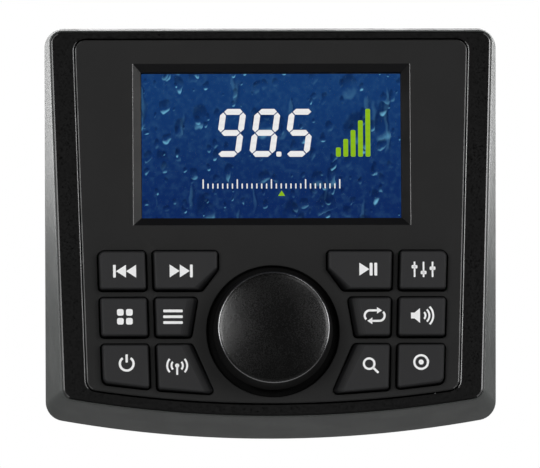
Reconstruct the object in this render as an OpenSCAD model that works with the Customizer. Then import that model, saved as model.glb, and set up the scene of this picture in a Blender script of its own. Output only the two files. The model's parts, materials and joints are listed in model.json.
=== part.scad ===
// Dash-mounted marine stereo: tilted control face, twelve buttons, rotary knob, rear chassis.
// X runs to the right seen from the front, Y back into the dash, Z up. Y = 0 is the dash surface.

/* [Display] */
// Width of the lit display area
screen_w = 66.4; // [58:0.2:74]
// Height of the lit display area
screen_h = 37.4; // [32:0.2:44]
// Dark border between the lit area and the window opening
screen_border = 0.4; // [0.2:0.1:1]
// Width of the sloped bevel round the display opening
bevel_w = 2.15; // [1.2:0.05:3]
// Depth of the sloped bevel
bevel_depth = 1.5; // [0.8:0.1:1.7]
// Straight lip between the bevel and the window
lip_depth = 0.4; // [0.2:0.1:0.6]
// Ledge of the plate that overlaps the window
window_lap = 1.3; // [0.8:0.1:2]
// Thickness of the clear window
window_t = 1.0; // [0.6:0.1:1.2]
// Thickness of the bonded window seal
window_seal_t = 0.2; // [0.1:0.05:0.3]
// Thickness of the display panel
lcd_t = 1.4; // [1:0.1:1.8]
// Edge of the display panel outside the lit area
lcd_edge = 1.0; // [0.6:0.1:1.6]
// Ledge of the display panel below the lit area
lcd_ledge = 3.6; // [2.5:0.1:4]
// Wall of the display tray
tray_wall = 0.5; // [0.3:0.1:0.7]
// Floor of the display tray, with its light guide
tray_floor = 1.2; // [0.8:0.1:1.5]

/* [Face] */
// Backward lean of the control face
face_tilt = 8; // [5:0.5:11]
// Width of the face plate at the middle of the face
plate_w = 98; // [92:0.5:108]
// Sideways taper of the plate and the frame
side_taper = 1.75; // [0:0.25:3]
// Bare strip between the top of the plate and the display bevel
strip_h = 6.3; // [5.5:0.1:10]
// Height by which the plate stands proud of the frame
plate_proud = 0.4; // [0.2:0.1:0.8]
// Corner radius of the plate
plate_r = 2.7; // [1.5:0.1:4]
// Radius of the curved lower edge of the plate
arc_r = 308; // [220:2:600]
// Groove between the plate and the frame
plate_gap = 0.35; // [0.2:0.05:0.6]
// Thickness of the face frame
frame_t = 2.4; // [2:0.1:3]
// Width of the frame beside the plate
frame_side = 6.2; // [4:0.1:9]
// Width of the frame above the plate
frame_top_w = 1.65; // [1.4:0.05:4]
// Width of the frame below the plate
frame_low_w = 3.1; // [2:0.1:6]
// Corner radius of the frame
frame_r = 2.8; // [1.5:0.1:5]

/* [Bezel] */
// Wall of the bezel
bezel_wall = 2.4; // [1.8:0.1:3]
// Seam between the frame and the bezel
seam = 0.25; // [0.15:0.05:0.5]
// Bright rim of the bezel round the frame
rim_w = 0.5; // [0.3:0.1:1.2]
// Step from the frame's front down to the rim
rim_drop = 0.35; // [0.1:0.05:0.8]
// Widening of each side from the frame to the dash
side_draft = 2.0; // [1:0.1:4]
// Widening of the top from the frame to the dash
top_draft = 0.2; // [0.1:0.1:2]
// Widening of the bottom from the frame to the dash
low_draft = 5.4; // [3:0.1:8]
// Corner radius of the bezel at the dash
base_r = 5; // [3:0.5:8]
// Shelf inside the bezel that carries the plate and the frame
shelf_t = 1.6; // [1.2:0.1:2.2]
// Overlap of the shelf behind the plate
plate_seat = 0.9; // [0.5:0.1:1.2]

/* [Buttons] */
// Gap from the display bevel down to the first row
key_drop = 6.4; // [5.8:0.1:10]
// Height of the first two rows
key_h = 10.1; // [8.5:0.1:12]
// Height of the last row, at the middle of the face
last_key_h = 13.1; // [11.5:0.1:15]
// Web of the plate between two buttons, with both gaps
key_gap = 1.95; // [1.9:0.05:3]
// Width of the outer column
key_w = 12; // [9:0.1:13.5]
// Plate left outside the outer column
key_side = 4.25; // [2.5:0.05:6]
// Plate left below the last row
key_low = 2.25; // [2.2:0.05:4]
// Half the clear width between the first-row buttons
key_inner = 14.1; // [10:0.1:16]
// Half the clear width between the last-row buttons
last_key_inner = 15; // [13.5:0.1:16]
// Corner radius of a button
key_r = 0.8; // [0.5:0.1:1.2]
// Height of a button above the plate
key_rise = 2.0; // [1.2:0.1:3]
// Edge slope of a button's top
key_edge = 0.5; // [0.3:0.05:0.8]
// Extra slope on the edges that face the knob
key_facet = 1.3; // [0.5:0.1:2]
// Gap round a button in the plate
key_fit = 0.35; // [0.3:0.01:0.45]
// Retaining edge of a button behind the plate
key_lap = 0.4; // [0.3:0.05:0.5]
// Thickness of the retaining flange
key_flange_t = 1.0; // [0.7:0.1:1.3]
// Radius of the stem that presses the switch
stem_r = 1.8; // [1.2:0.1:2.2]
// Length of the stem behind the flange
stem_len = 1.2; // [0.6:0.1:2]
// Travel of a button
press_travel = 0.8; // [0.4:0.1:1.2]

/* [Knob] */
// Diameter of the knob at its foot
knob_d = 30.6; // [26:0.2:33]
// Diameter of the knob at its upper edge
knob_top_d = 29.1; // [23:0.1:29.8]
// Height of the knob's upper edge above the plate
knob_h = 7.4; // [6:0.1:9]
// Rise of the domed cap above the upper edge
knob_crown = 1.3; // [0.8:0.1:2.5]
// Wall of the knob's skirt
knob_wall = 2.0; // [1.4:0.1:2.6]
// Gap between the knob and its well
well_gap = 1.6; // [1:0.1:2]
// Depth of the well in the plate
well_depth = 1.4; // [1.2:0.1:1.6]
// Plate left between the well and the buttons round it
ring_margin = 4.2; // [3:0.1:5.5]
// Distance from the first row's top down to the knob's centre
knob_drop = 20.65; // [19.5:0.05:22]
// Travel of the knob when it is pushed
push_travel = 0.6; // [0.3:0.1:0.7]
// Radius of the encoder shaft
shaft_r = 3; // [2.5:0.1:3.2]
// Side of the square encoder body
encoder_w = 12; // [11:0.2:13]
// Outer radius of the encoder's threaded bushing
bushing_r = 4.2; // [4:0.1:4.6]
// Thickness of the encoder's nut
nut_t = 1.8; // [1.4:0.1:2]
// Thickness of the sealing washer under the nut
washer_t = 0.5; // [0.3:0.1:0.8]

/* [Boards] */
// Thickness of both circuit boards
board_t = 1.6; // [1.2:0.1:2]
// Thickness of the silicone keypad mat
mat_t = 0.8; // [0.5:0.1:1.2]
// Reach of the mat round the switches
mat_reach = 5; // [4.5:0.1:5.5]
// Height of a tact switch with its actuator
switch_h = 1.9; // [1.5:0.1:2.6]
// Side of a tact switch
switch_w = 5; // [4:0.1:6]
// Radius of the plate's board bosses
boss_r = 1.6; // [1.4:0.1:1.8]
// Thread radius of the small screws
screw_r = 0.9; // [0.7:0.05:1]
// Distance of the main board from the chassis back
standoff_h = 10; // [9:0.5:13]
// Width of both ribbon cables
ribbon_w = 14; // [10:0.5:18]

/* [Rear chassis] */
// Depth of the chassis behind the dash surface
chassis_depth = 42; // [38:1:60]
// Sheet thickness of the chassis
chassis_t = 1.4; // [1:0.1:1.8]
// Dash rim left beside the chassis
rear_side = 15.8; // [15:0.1:18]
// Dash rim left above and below the chassis
rear_rim = 7.8; // [7:0.1:10]
// Corner radius of the chassis
chassis_r = 4; // [2:0.5:6]
// Thickness of the panel gasket
gasket_t = 1.5; // [1:0.1:3]
// Distance of a stud's axis from the side of the chassis
stud_side = 7.85; // [5.5:0.05:8.5]
// Distance of a stud's axis from the top and bottom of the bezel
stud_drop = 12.76; // [11:0.01:18]
// Radius of the mounting studs
stud_r = 2.5; // [2:0.1:3]
// Reach of the studs behind the dash surface
stud_len = 36; // [20:1:60]

/* [Heat sink] */
// Width of the heat sink
sink_w = 64; // [58:1:68]
// Height of the heat sink
sink_h = 46; // [36:1:50]
// Thickness of the heat sink's base
sink_base = 4; // [3:0.5:6]
// Height of the fins
fin_h = 10; // [5:0.5:20]
// Thickness of a fin
fin_t = 1.6; // [1:0.1:2]
// Number of fins
fin_count = 10; // [4:1:12]

/* [Sockets] */
// Width of the harness socket
harness_w = 27; // [24:0.5:29]
// Height of the harness socket
harness_h = 15; // [14:0.5:17]
// Reach of the sockets behind the chassis
socket_reach = 5; // [3:0.5:9]
// Bore radius of the antenna socket
antenna_r = 4.9; // [4.2:0.1:5.4]
// Sleeve radius of a line-out jack
jack_r = 4.15; // [4:0.05:4.4]

/* [Hidden] */
$fn = 64;

// Clearances: a shaft or screw in its hole, faces that nearly touch, a loose seat, a moving gap
run_fit = 0.05;
touch_gap = 0.1;
seat_gap = 0.3;
move_gap = 0.4;
// Thin slabs that end a lofted shape, and the overrun of a cut
slab = 0.02;
cut = 1;
// Steps on a rounded corner and along the curved lower edge
corner_steps = 6;
arc_steps = 12;
// Smallest corner radius, and the room kept at each end of an edge that bends
least_r = 0.25;
bend_room = 1.5;
// Shares of the facet and of the growth that lift the bend of an inner button's edge
bend_facet = 0.5;
bend_growth = 1 / 3;

// Display opening and its bevel, centred on the face
open_w = screen_w + 2 * screen_border;
open_h = screen_h + 2 * screen_border;
bevel_box_w = open_w + 2 * bevel_w;
bevel_box_h = open_h + 2 * bevel_w;
pocket_w = open_w + 2 * window_lap;
pocket_h = open_h + 2 * window_lap;
window_w = pocket_w - 2 * touch_gap;
window_h = pocket_h - 2 * touch_gap;

// Heights up the face, with v = 0 level with the middle of the dash outline
edge = seam + rim_w;
plate_h = strip_h + bevel_box_h + key_drop + 2 * (key_h + key_gap) + last_key_h + key_low;
plate_low = (frame_low_w - frame_top_w - plate_h) / 2
    + (low_draft - top_draft + 2 * rim_drop * sin(face_tilt)) / (2 * cos(face_tilt));
plate_top = plate_low + plate_h;
frame_top = plate_top + frame_top_w;
bevel_top = plate_top - strip_h;
bevel_low = bevel_top - bevel_box_h;
screen_v = (bevel_top + bevel_low) / 2;
keys_top = bevel_low - key_drop;
knob_v = keys_top - knob_drop;
well_r = knob_d / 2 + well_gap;
ring_r = well_r + ring_margin;

// Depths behind the frame's front, measured square to the face
plate_front = plate_proud;
plate_back = -frame_t;
bevel_floor = plate_front - bevel_depth;
window_front = bevel_floor - lip_depth - window_seal_t;
window_back = window_front - window_t;
lcd_front = min(window_back, plate_back) - touch_gap;
lcd_back = lcd_front - lcd_t;
tray_back = lcd_back - tray_floor;
flange_front = plate_back - touch_gap;
flange_back = flange_front - key_flange_t;
stem_end = flange_back - stem_len;
mat_front = stem_end - press_travel - seat_gap;
mat_back = mat_front - mat_t;
switch_top = mat_back - touch_gap;
board_front = switch_top - switch_h;
board_back = board_front - board_t;
shelf_back = -frame_t - shelf_t;

// Display panel and tray edges up the face
lcd_w = screen_w + 2 * lcd_edge;
lcd_top = screen_v + screen_h / 2 + lcd_edge;
lcd_low = screen_v - screen_h / 2 - lcd_ledge;
tray_edge = tray_wall + touch_gap;
tray_top = lcd_top + tray_edge;
tray_low = lcd_low - tray_edge;

// Depth of the bezel at its top edge, so that all that lies behind the face clears the chassis flange
top_depth = chassis_t + seat_gap + max(
    -shelf_back * cos(face_tilt),
    -tray_back * cos(face_tilt) - (frame_top - tray_top) * sin(face_tilt),
    -board_back * cos(face_tilt) - (frame_top - bevel_low) * sin(face_tilt));
face_offset = gasket_t + top_depth + frame_top * sin(face_tilt);

// Outline of the bezel on the dash
base_half_w = plate_w / 2 + frame_side + edge + side_draft;
base_half_h = (frame_top + edge) * cos(face_tilt) - rim_drop * sin(face_tilt) + top_draft;
flange_y = -gasket_t - chassis_t;

// Outlines: half width at v = 0, taper, top, low point, radius of the lower edge, corner radius
PLATE = [plate_w / 2, side_taper, plate_top, plate_low, arc_r, plate_r];
FRAME = [plate_w / 2 + frame_side, side_taper, frame_top, plate_low - frame_low_w, arc_r, frame_r];
BASE = [base_half_w, 0, base_half_h, -base_half_h, arc_r, base_r];

// Encoder and knob, measured square to the face
well_floor = plate_front - well_depth;
encoder_top = plate_back - touch_gap;
encoder_wall = 1.6;
cavity_r = encoder_w / 2 - encoder_wall;
encoder_floor = 0.6;
encoder_roof = 1;
cavity_low = board_front + encoder_floor;
cavity_top = encoder_top - encoder_roof;
collar_t = 1;
shaft_low = cavity_top - seat_gap - collar_t;
slider_t = 1.2;
nut_top = well_floor + washer_t + nut_t;
bushing_top = nut_top + seat_gap;
knob_foot = plate_front + push_travel + seat_gap;
knob_edge = plate_front + knob_h;
cap_t = 1;
cap_rim = 0.9;
cap_r = knob_top_d / 2 - cap_rim;
cap_seat = knob_edge - cap_t;
deck_t = 1.2;
hub_wall = 1.8;
hub_r = shaft_r + hub_wall;
hub_low = bushing_top + push_travel + move_gap;

// Board bosses on the back of the plate
boss_high = [bevel_box_w / 2, (tray_low + keys_top + key_fit + key_lap) / 2];
boss_x = 10.5;
boss_lift = 3.7;
boss_low = [boss_x, plate_low + boss_lift];

// Chassis, studs, posts and screws behind the bezel
can_half_w = base_half_w - rear_side;
can_half_h = base_half_h - rear_rim;
can_inner_w = can_half_w - chassis_t;
can_inner_h = can_half_h - chassis_t;
can_back = chassis_depth - chassis_t;
stud_x = can_half_w + stud_side;
stud_z = base_half_h - stud_drop;
stud_collar_rim = 0.5;
stud_head_rim = 1.2;
stud_room = 1.3;
stud_collar_r = stud_r + stud_collar_rim;
stud_head_r = stud_r + stud_head_rim;
stud_head_t = chassis_t / 2;
post_r = 2.6;
post_x = base_half_w - bezel_wall - post_r;
post_drop = 11;
post_z = stud_z - post_drop;
post_depth = top_depth + (frame_top - post_z) * sin(face_tilt) - frame_t * cos(face_tilt) - seat_gap;
chassis_screw_r = 1.3;
head_r = 2.1;
head_t = gasket_t - 2 * touch_gap;

// Main board, amplifier and heat sink
main_back = can_back - standoff_h;
main_front = main_back - board_t;
board_rim = 3.5;
main_half_w = can_inner_w - board_rim;
main_half_h = can_inner_h - board_rim;
standoff_r = 3;
standoff_in = 4;
standoff_x = main_half_w - standoff_in;
standoff_z = main_half_h - standoff_in;
board_head_r = 1.9;
board_head_t = 1.2;
sink_drop = 3;
sink_z = can_half_h - sink_drop - sink_h / 2;
pedestal_w = 42;
pedestal_h = 22;
amp_w = 29;
amp_h = 17;
amp_t = 5;
pad_t = 0.5;
amp_back = can_back - pad_t;
amp_front = amp_back - amp_t;
clamp_t = 1.2;
clamp_h = 7;
clamp_reach = 3.2;
clamp_screw_x = amp_w / 2 + clamp_reach;
amp_pins = 15;
amp_pitch = 1.7;
pin_w = 0.8;
lead_drop = 2;
sink_screw_in = 3;
sink_screw_drop = 11;
sink_screw_x = sink_w / 2 - sink_screw_in;
sink_screw_z = sink_h / 2 - sink_screw_drop;
fin_span = 2 * (sink_screw_x - head_r - seat_gap);
fin_pitch = (fin_span - fin_t) / (fin_count - 1);

// Sockets on the lower back, spread evenly between the standoffs
socket_rise = 16;
socket_z = -can_half_h + socket_rise;
socket_end = chassis_depth + socket_reach;
harness_wall = 1.6;
harness_depth = 12.5;
harness_column_count = 8;
harness_row_count = 2;
harness_pitch = 2.8;
harness_pin_len = 6;
antenna_wall = 1.6;
antenna_depth = 9;
antenna_out_r = antenna_r + antenna_wall;
contact_r = 1.6;
jack_pitch = 12;
jack_foot = 1;
jack_base_r = jack_r + jack_foot;
jack_reach = 4;
socket_span = standoff_x - standoff_r;
socket_gap = (2 * (socket_span - antenna_out_r - jack_base_r) - harness_w) / 4;
harness_x = -socket_span + socket_gap + harness_w / 2;
antenna_x = harness_x + harness_w / 2 + socket_gap + antenna_out_r;
jack_x = socket_span - socket_gap - jack_base_r;

// Link between the boards and the parts that stand on them
ribbon_t = 0.3;
ribbon_v = tray_low - ribbon_t - seat_gap;
ribbon_steps = 16;
link_lift = 5;
link_v = knob_v + link_lift;
link_depth = 4;
link_h = 5;
link_bow = 4;
link_w = board_back - link_depth;
link_y = -face_offset + link_v * sin(face_tilt) - link_w * cos(face_tilt) + touch_gap;
link_z = link_v * cos(face_tilt) + link_w * sin(face_tilt);
ribbon_socket_t = 1.2;
ribbon_socket_h = 3;
capacitor_r = 5;
capacitor_h = 16;
capacitor_pitch = 13;
capacitor_in = 13.25;
capacitor_x = capacitor_in - main_half_w;
tuner_w = 24;
tuner_t = 6;
tuner_h = 26;
tuner_in = 15.25;
tuner_x = main_half_w - tuner_in;
chip_w = 12;
chip_t = 1.4;

// Unit vector along a 2-D direction
function unit(d) = d / norm(d);

// Arc that rounds the corner b, between its neighbours a and c
function corner_arc(a, b, c, r) =
    let (to_a = unit(a - b), to_c = unit(c - b), half = acos(to_a * to_c) / 2)
    let (centre = b + unit(to_a + to_c) * r / sin(half))
    let (first = b + to_a * r / tan(half) - centre, last = b + to_c * r / tan(half) - centre)
    let (start = atan2(first[1], first[0]), sweep = atan2(last[1], last[0]) - start)
    let (turn = sweep > 180 ? sweep - 360 : sweep < -180 ? sweep + 360 : sweep)
    [for (i = [0 : corner_steps]) centre + r * [cos(start + turn * i / corner_steps),
                                                sin(start + turn * i / corner_steps)]];

// Closed outline through corners given as [x, y, corner radius], where a radius of 0 keeps the point
function rounded(corners) =
    let (n = len(corners), p = [for (c = corners) [c[0], c[1]]])
    [for (i = [0 : n - 1]) each corners[i][2] > 0
        ? corner_arc(p[(i + n - 1) % n], p[i], p[(i + 1) % n], corners[i][2])
        : [p[i]]];

// Rectangle with round corners, centred on the origin
function rounded_box(half_w, half_h, r) =
    rounded([[-half_w, half_h, r], [-half_w, -half_h, r], [half_w, -half_h, r], [half_w, half_h, r]]);

// Height of a shape's curved lower edge at u, and its half width at v
function lower_edge(shape, u) = shape[3] + shape[4] - sqrt(shape[4] * shape[4] - u * u);
function half_width(shape, v) = shape[0] + tan(shape[1]) * v;

// A shape grown outward by g on every side
function grown(shape, g) =
    [shape[0] + g / cos(shape[1]), shape[1], shape[2] + g, shape[3] - g, shape[4] + g,
     max(shape[5] + g, least_r)];

// Points of a shape: straight top and sides, round corners, curved lower edge
function outline(shape) =
    let (side = half_width(shape, lower_edge(shape, half_width(shape, shape[3]))), r = shape[5])
    let (low = lower_edge(shape, side), high = half_width(shape, shape[2]))
    rounded(concat(
        [[-high, shape[2], r], [-side, low, r]],
        [for (i = [1 : arc_steps - 1]) let (u = side * (2 * i / arc_steps - 1))
            [u, lower_edge(shape, u), 0]],
        [[side, low, r], [high, shape[2], r]]));

// Edges of the button columns at height v, from the outside of the face inward
function column_out(v, col) = half_width(PLATE, v) - key_side - col * (key_w + key_gap);
function row_top(row) = keys_top - row * (key_h + key_gap);
function row_low(row, u) = row < 2 ? row_top(row) - key_h : lower_edge(PLATE, u) + key_low;
// Where the ring of bare plate round the knob meets height v
function ring_edge(v) = sqrt(max(ring_r * ring_r - (v - knob_v) * (v - knob_v), 0));

// Corners of a button on the right of the face: g grows it, facet pulls in the edges that face the knob
function key_corners(row, col, g, facet = 0) =
    let (top = row_top(row), r = max(key_r + g, least_r), r_out = max(2 * key_r + g, least_r))
    let (low_out = row_low(row, column_out(top - key_h, col)), mid = row_low(row, 0))
    let (in_high = col == 0 ? column_out(top, 0) - key_w : row == 0 ? key_inner : ring_edge(top))
    let (in_low = col == 0 ? column_out(low_out, 0) - key_w
        : row == 2 ? last_key_inner : max(ring_edge(mid), key_inner))
    let (low_in = row_low(row, in_low), pull = (col == 1 ? facet : 0) - g)
    let (ring_rise = sqrt(max(ring_r * ring_r - key_inner * key_inner, 0)))
    let (bend = min(top - bend_room, max(low_in + bend_room, knob_v + ring_rise)))
    concat(
        [[in_high + (row == 0 ? -g : pull), top + g, r]],
        row == 0 && col == 1 ? [[in_high - g, bend + facet * bend_facet + g * bend_growth, r]] : [],
        [[in_low + pull, low_in - g, r],
         [column_out(low_out, col) + g, low_out - g, col == 0 && row == 2 ? r_out : r],
         [column_out(top, col) + g, top + g, col == 0 && row == 0 ? r_out : r]]);

// Sum of a list from its i-th value on
function total(list, i = 0) = i < len(list) ? list[i] + total(list, i + 1) : 0;

// Middle of a button, over its switch
function key_middle(row, col) =
    let (c = key_corners(row, col, 0))
    [for (axis = [0, 1]) total([for (p = c) p[axis]]) / len(c)];

KEY_SPOTS = [for (side = [-1, 1], row = [0 : 2], col = [0, 1])
    let (m = key_middle(row, col)) [side * m[0], m[1]]];
BOSSES = [for (side = [-1, 1], b = [boss_high, boss_low]) [side * b[0], b[1]]];
STUDS = [for (x = [-1, 1], z = [-1, 1]) [x * stud_x, z * stud_z]];
POSTS = [for (x = [-1, 1], z = [-1, 0, 1]) [x * post_x, z * post_z]];
STANDOFFS = [for (x = [-1, 1], z = [-1, 1]) [x * standoff_x, z * standoff_z]];
SINK_SCREWS = [for (x = [-1, 1], z = [-1, 1]) [x * sink_screw_x, sink_z + z * sink_screw_z]];
CLAMP_SCREWS = [for (x = [-1, 1]) [x * clamp_screw_x, sink_z]];
JACKS = [for (z = [-1, 1]) [jack_x, socket_z + z * jack_pitch / 2]];
HARNESS_PINS = [for (i = [0 : harness_column_count - 1], j = [0 : harness_row_count - 1])
    [harness_x + (i - (harness_column_count - 1) / 2) * harness_pitch,
     socket_z + (j - (harness_row_count - 1) / 2) * harness_pitch]];

// Places its children in the face: x across, y up the face, z out of the frame's front
module on_face() {
    translate([0, -face_offset, 0]) rotate([90 - face_tilt, 0, 0]) children();
}

// Extrudes a face outline between two depths
module layer(low, high) {
    translate([0, 0, low]) linear_extrude(height = high - low) children();
}

// Round bar square to the face, between two depths
module peg(at, low, high, r) {
    translate([at[0], at[1], low]) cylinder(h = high - low, r = r);
}

// Extrudes an X-Z outline from y0 back to y1
module slice_y(y0, y1) {
    translate([0, y1, 0]) rotate([90, 0, 0]) linear_extrude(height = y1 - y0) children();
}

// Round bar along Y at an [x, z] place
module rod(at, y0, y1, r) {
    translate([at[0], y0, at[1]]) rotate([-90, 0, 0]) cylinder(h = y1 - y0, r = r);
}

// Block along Y, centred on an [x, z] place
module block(at, y0, y1, w, h) {
    translate([at[0] - w / 2, y0, at[1] - h / 2]) cube([w, y1 - y0, h]);
}

// Extrudes a Y-Z outline, or a height-depth outline of the face, across the middle
module across(w) {
    translate([-w / 2, 0, 0]) rotate([90, 0, 90]) linear_extrude(height = w) children();
}

// Screw along Y with its head at y, its shank running forward
module screw_forward(at, y, shank, r, cap_r, cap_h) {
    rod(at, y - shank, y, r);
    rod(at, y, y + cap_h, cap_r);
}

// Screw along Y with its head at y, its shank running back
module screw_back(at, y, shank, r, cap_r, cap_h) {
    rod(at, y, y + shank, r);
    rod(at, y - cap_h, y, cap_r);
}

// Grey drafted shell: shelf for the frame and plate, posts for the chassis screws
module outer_bezel() {
    color("dimgray") difference() {
        union() {
            difference() {
                hull() {
                    slice_y(-gasket_t - slab, -gasket_t) polygon(outline(BASE));
                    on_face() layer(-rim_drop - slab, -rim_drop) polygon(outline(grown(FRAME, edge)));
                }
                hull() {
                    slice_y(flange_y - seat_gap, -gasket_t + cut)
                        polygon(outline(grown(BASE, -bezel_wall)));
                    on_face() layer(shelf_back - slab, shelf_back)
                        polygon(outline(grown(FRAME, edge - bezel_wall)));
                }
                on_face() layer(shelf_back - cut, cut) polygon(outline(grown(PLATE, -plate_seat)));
            }
            for (at = POSTS) rod(at, -face_offset, flange_y - touch_gap, post_r);
        }
        on_face() layer(-frame_t, face_offset) polygon(outline(grown(FRAME, seam)));
        for (at = POSTS) rod(at, -gasket_t - post_depth, flange_y, chassis_screw_r + run_fit);
    }
}

// Black frame between the bezel and the plate
module face_frame() {
    color([0.09, 0.09, 0.09]) on_face() layer(-frame_t, 0) difference() {
        polygon(outline(FRAME));
        polygon(outline(grown(PLATE, plate_gap)));
    }
}

// Dark plate: display bevel, window pocket, button openings, knob well and board bosses
module face_plate() {
    color([0.17, 0.17, 0.17]) on_face() difference() {
        union() {
            layer(plate_back, plate_front) polygon(outline(PLATE));
            for (at = BOSSES) peg(at, board_front, plate_back + slab, boss_r);
        }
        translate([0, screen_v, 0]) {
            hull() {
                layer(plate_front, plate_front + slab) square([bevel_box_w, bevel_box_h], center = true);
                layer(bevel_floor - slab, bevel_floor) square([open_w, open_h], center = true);
            }
            layer(plate_back - cut, plate_front) square([open_w, open_h], center = true);
            layer(plate_back - cut, bevel_floor - lip_depth)
                square([pocket_w, pocket_h], center = true);
        }
        for (side = [0, 1], row = [0 : 2], col = [0, 1])
            mirror([side, 0, 0]) layer(plate_back - cut, plate_front + cut)
                polygon(rounded(key_corners(row, col, key_fit)));
        peg([0, knob_v], well_floor, plate_front + cut, well_r);
        peg([0, knob_v], plate_back - cut, plate_front, bushing_r + touch_gap);
        for (at = BOSSES) peg(at, board_front - cut, plate_back, screw_r + run_fit);
    }
}

// Clear window behind the bevel
module display_window() {
    color([0.6, 0.75, 0.9, 0.4]) on_face() translate([0, screen_v, 0]) layer(window_back, window_front)
        square([window_w, window_h], center = true);
}

// Bonded seal between the window and the plate
module window_seal() {
    color("black") on_face() translate([0, screen_v, 0])
        layer(window_front, window_front + window_seal_t) difference() {
            square([window_w, window_h], center = true);
            square([open_w, open_h], center = true);
        }
}

// Colour display panel
module lcd_panel() {
    color([0.08, 0.24, 0.45]) on_face() layer(lcd_back, lcd_front)
        translate([-lcd_w / 2, lcd_low]) square([lcd_w, lcd_top - lcd_low]);
}

// Pressed tray with the light guide, open below for the ribbon
module lcd_tray() {
    color("silver") on_face() difference() {
        layer(tray_back, lcd_front) translate([-lcd_w / 2 - tray_edge, tray_low])
            square([lcd_w + 2 * tray_edge, tray_top - tray_low]);
        layer(lcd_back, lcd_front + cut) translate([-lcd_w / 2 - touch_gap, lcd_low - touch_gap])
            square([lcd_w + 2 * touch_gap, lcd_top - lcd_low + 2 * touch_gap]);
        layer(lcd_back, lcd_front + cut) translate([-ribbon_w / 2 - seat_gap, tray_low - cut])
            square([ribbon_w + 2 * seat_gap, lcd_low - tray_low + cut]);
    }
}

// Button with its retaining flange and stem; side 0 is the right of the face, 1 the left
module key(side, row, col) {
    crown_low = plate_front + key_rise / 2;
    color([0.2, 0.2, 0.2]) on_face() mirror([side, 0, 0]) {
        layer(flange_back, flange_front) polygon(rounded(key_corners(row, col, key_fit + key_lap)));
        layer(flange_front, crown_low) polygon(rounded(key_corners(row, col, 0)));
        hull() {
            layer(crown_low, crown_low + slab) polygon(rounded(key_corners(row, col, 0)));
            layer(plate_front + key_rise - slab, plate_front + key_rise)
                polygon(rounded(key_corners(row, col, -key_edge, key_facet)));
        }
        peg(key_middle(row, col), stem_end, flange_back, stem_r);
    }
}

module button_previous() { key(1, 0, 0); }
module button_next() { key(1, 0, 1); }
module button_mode() { key(1, 1, 0); }
module button_menu() { key(1, 1, 1); }
module button_power() { key(1, 2, 0); }
module button_band() { key(1, 2, 1); }
module button_equaliser() { key(0, 0, 0); }
module button_play_pause() { key(0, 0, 1); }
module button_loudness() { key(0, 1, 0); }
module button_repeat() { key(0, 1, 1); }
module button_mono() { key(0, 2, 0); }
module button_scan() { key(0, 2, 1); }

// Hollow knob with a hub for the shaft and a seat for the cap
module volume_knob() {
    color([0.12, 0.12, 0.12]) on_face() translate([0, knob_v, 0]) rotate_extrude() polygon([
        [shaft_r + run_fit, hub_low], [hub_r, hub_low], [hub_r, cap_seat - deck_t],
        [knob_top_d / 2 - knob_wall, cap_seat - deck_t], [knob_d / 2 - knob_wall, knob_foot],
        [knob_d / 2, knob_foot], [knob_top_d / 2, knob_edge], [cap_r, knob_edge], [cap_r, cap_seat],
        [shaft_r + run_fit, cap_seat]]);
}

// Domed cap in the knob's top
module knob_cap() {
    rim = cap_r - run_fit;
    dome_r = (rim * rim + knob_crown * knob_crown) / (2 * knob_crown);
    span = asin(rim / dome_r);
    color([0.25, 0.25, 0.26]) on_face() translate([0, knob_v, 0]) rotate_extrude() polygon(concat(
        [[0, cap_seat], [rim, cap_seat]],
        [for (i = [arc_steps : -1 : 0]) let (a = span * i / arc_steps)
            [dome_r * sin(a), knob_edge + knob_crown - dome_r * (1 - cos(a))]]));
}

// Shaft with the collar that keeps it in the encoder
module encoder_shaft() {
    color("silver") on_face() {
        peg([0, knob_v], shaft_low, cap_seat - touch_gap, shaft_r);
        peg([0, knob_v], shaft_low, shaft_low + collar_t, cavity_r - seat_gap);
    }
}

// Slider under the shaft that works the push switch
module push_slider() {
    color("white") on_face()
        peg([0, knob_v], shaft_low - touch_gap - slider_t, shaft_low - touch_gap, cavity_r - seat_gap);
}

// Encoder housing and threaded bushing
module encoder_body() {
    color("gray") on_face() translate([0, knob_v, 0]) difference() {
        union() {
            layer(board_front, encoder_top) square([encoder_w, encoder_w], center = true);
            peg([0, 0], encoder_top - slab, bushing_top, bushing_r);
        }
        peg([0, 0], cavity_low, cavity_top, cavity_r);
        peg([0, 0], cavity_low, bushing_top + cut, shaft_r + run_fit);
    }
}

// Hexagon nut that draws the encoder against the plate
module encoder_nut() {
    color("silver") on_face() translate([0, knob_v, 0]) difference() {
        translate([0, 0, nut_top - nut_t]) cylinder(h = nut_t, r = bushing_r + nut_t, $fn = 6);
        peg([0, 0], nut_top - nut_t - cut, nut_top + cut, bushing_r + run_fit);
    }
}

// Sealing washer under the nut
module encoder_washer() {
    color("black") on_face() translate([0, knob_v, 0]) difference() {
        peg([0, 0], well_floor, well_floor + washer_t, bushing_r + nut_t);
        peg([0, 0], well_floor - cut, well_floor + washer_t + cut, bushing_r + run_fit);
    }
}

// Silicone sheet over the switches, standing on the control board by its skirt
module keypad_mat() {
    half = max([for (p = KEY_SPOTS) p[0]]) + mat_reach;
    top = max([for (p = KEY_SPOTS) p[1]]) + mat_reach;
    low = min([for (p = KEY_SPOTS) p[1]]) - mat_reach;
    color([0.3, 0.3, 0.32]) on_face() difference() {
        layer(board_front, mat_front) translate([-half, low]) square([2 * half, top - low]);
        layer(board_front - cut, mat_back) translate([-half + mat_t, low + mat_t])
            square([2 * (half - mat_t), top - low - 2 * mat_t]);
        peg([0, knob_v], board_front - cut, mat_front + cut, encoder_w * sqrt(0.5) + seat_gap);
        for (at = BOSSES) peg(at, board_front - cut, mat_front + cut, boss_r + seat_gap);
    }
}

// One switch behind each button
module tact_switches() {
    actuator_r = switch_w / 4;
    case_top = switch_top - switch_h / 4;
    color("gray") on_face() for (at = KEY_SPOTS) {
        translate(at) layer(board_front, case_top) square([switch_w, switch_w], center = true);
        peg(at, case_top, switch_top, actuator_r);
    }
}

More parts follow.
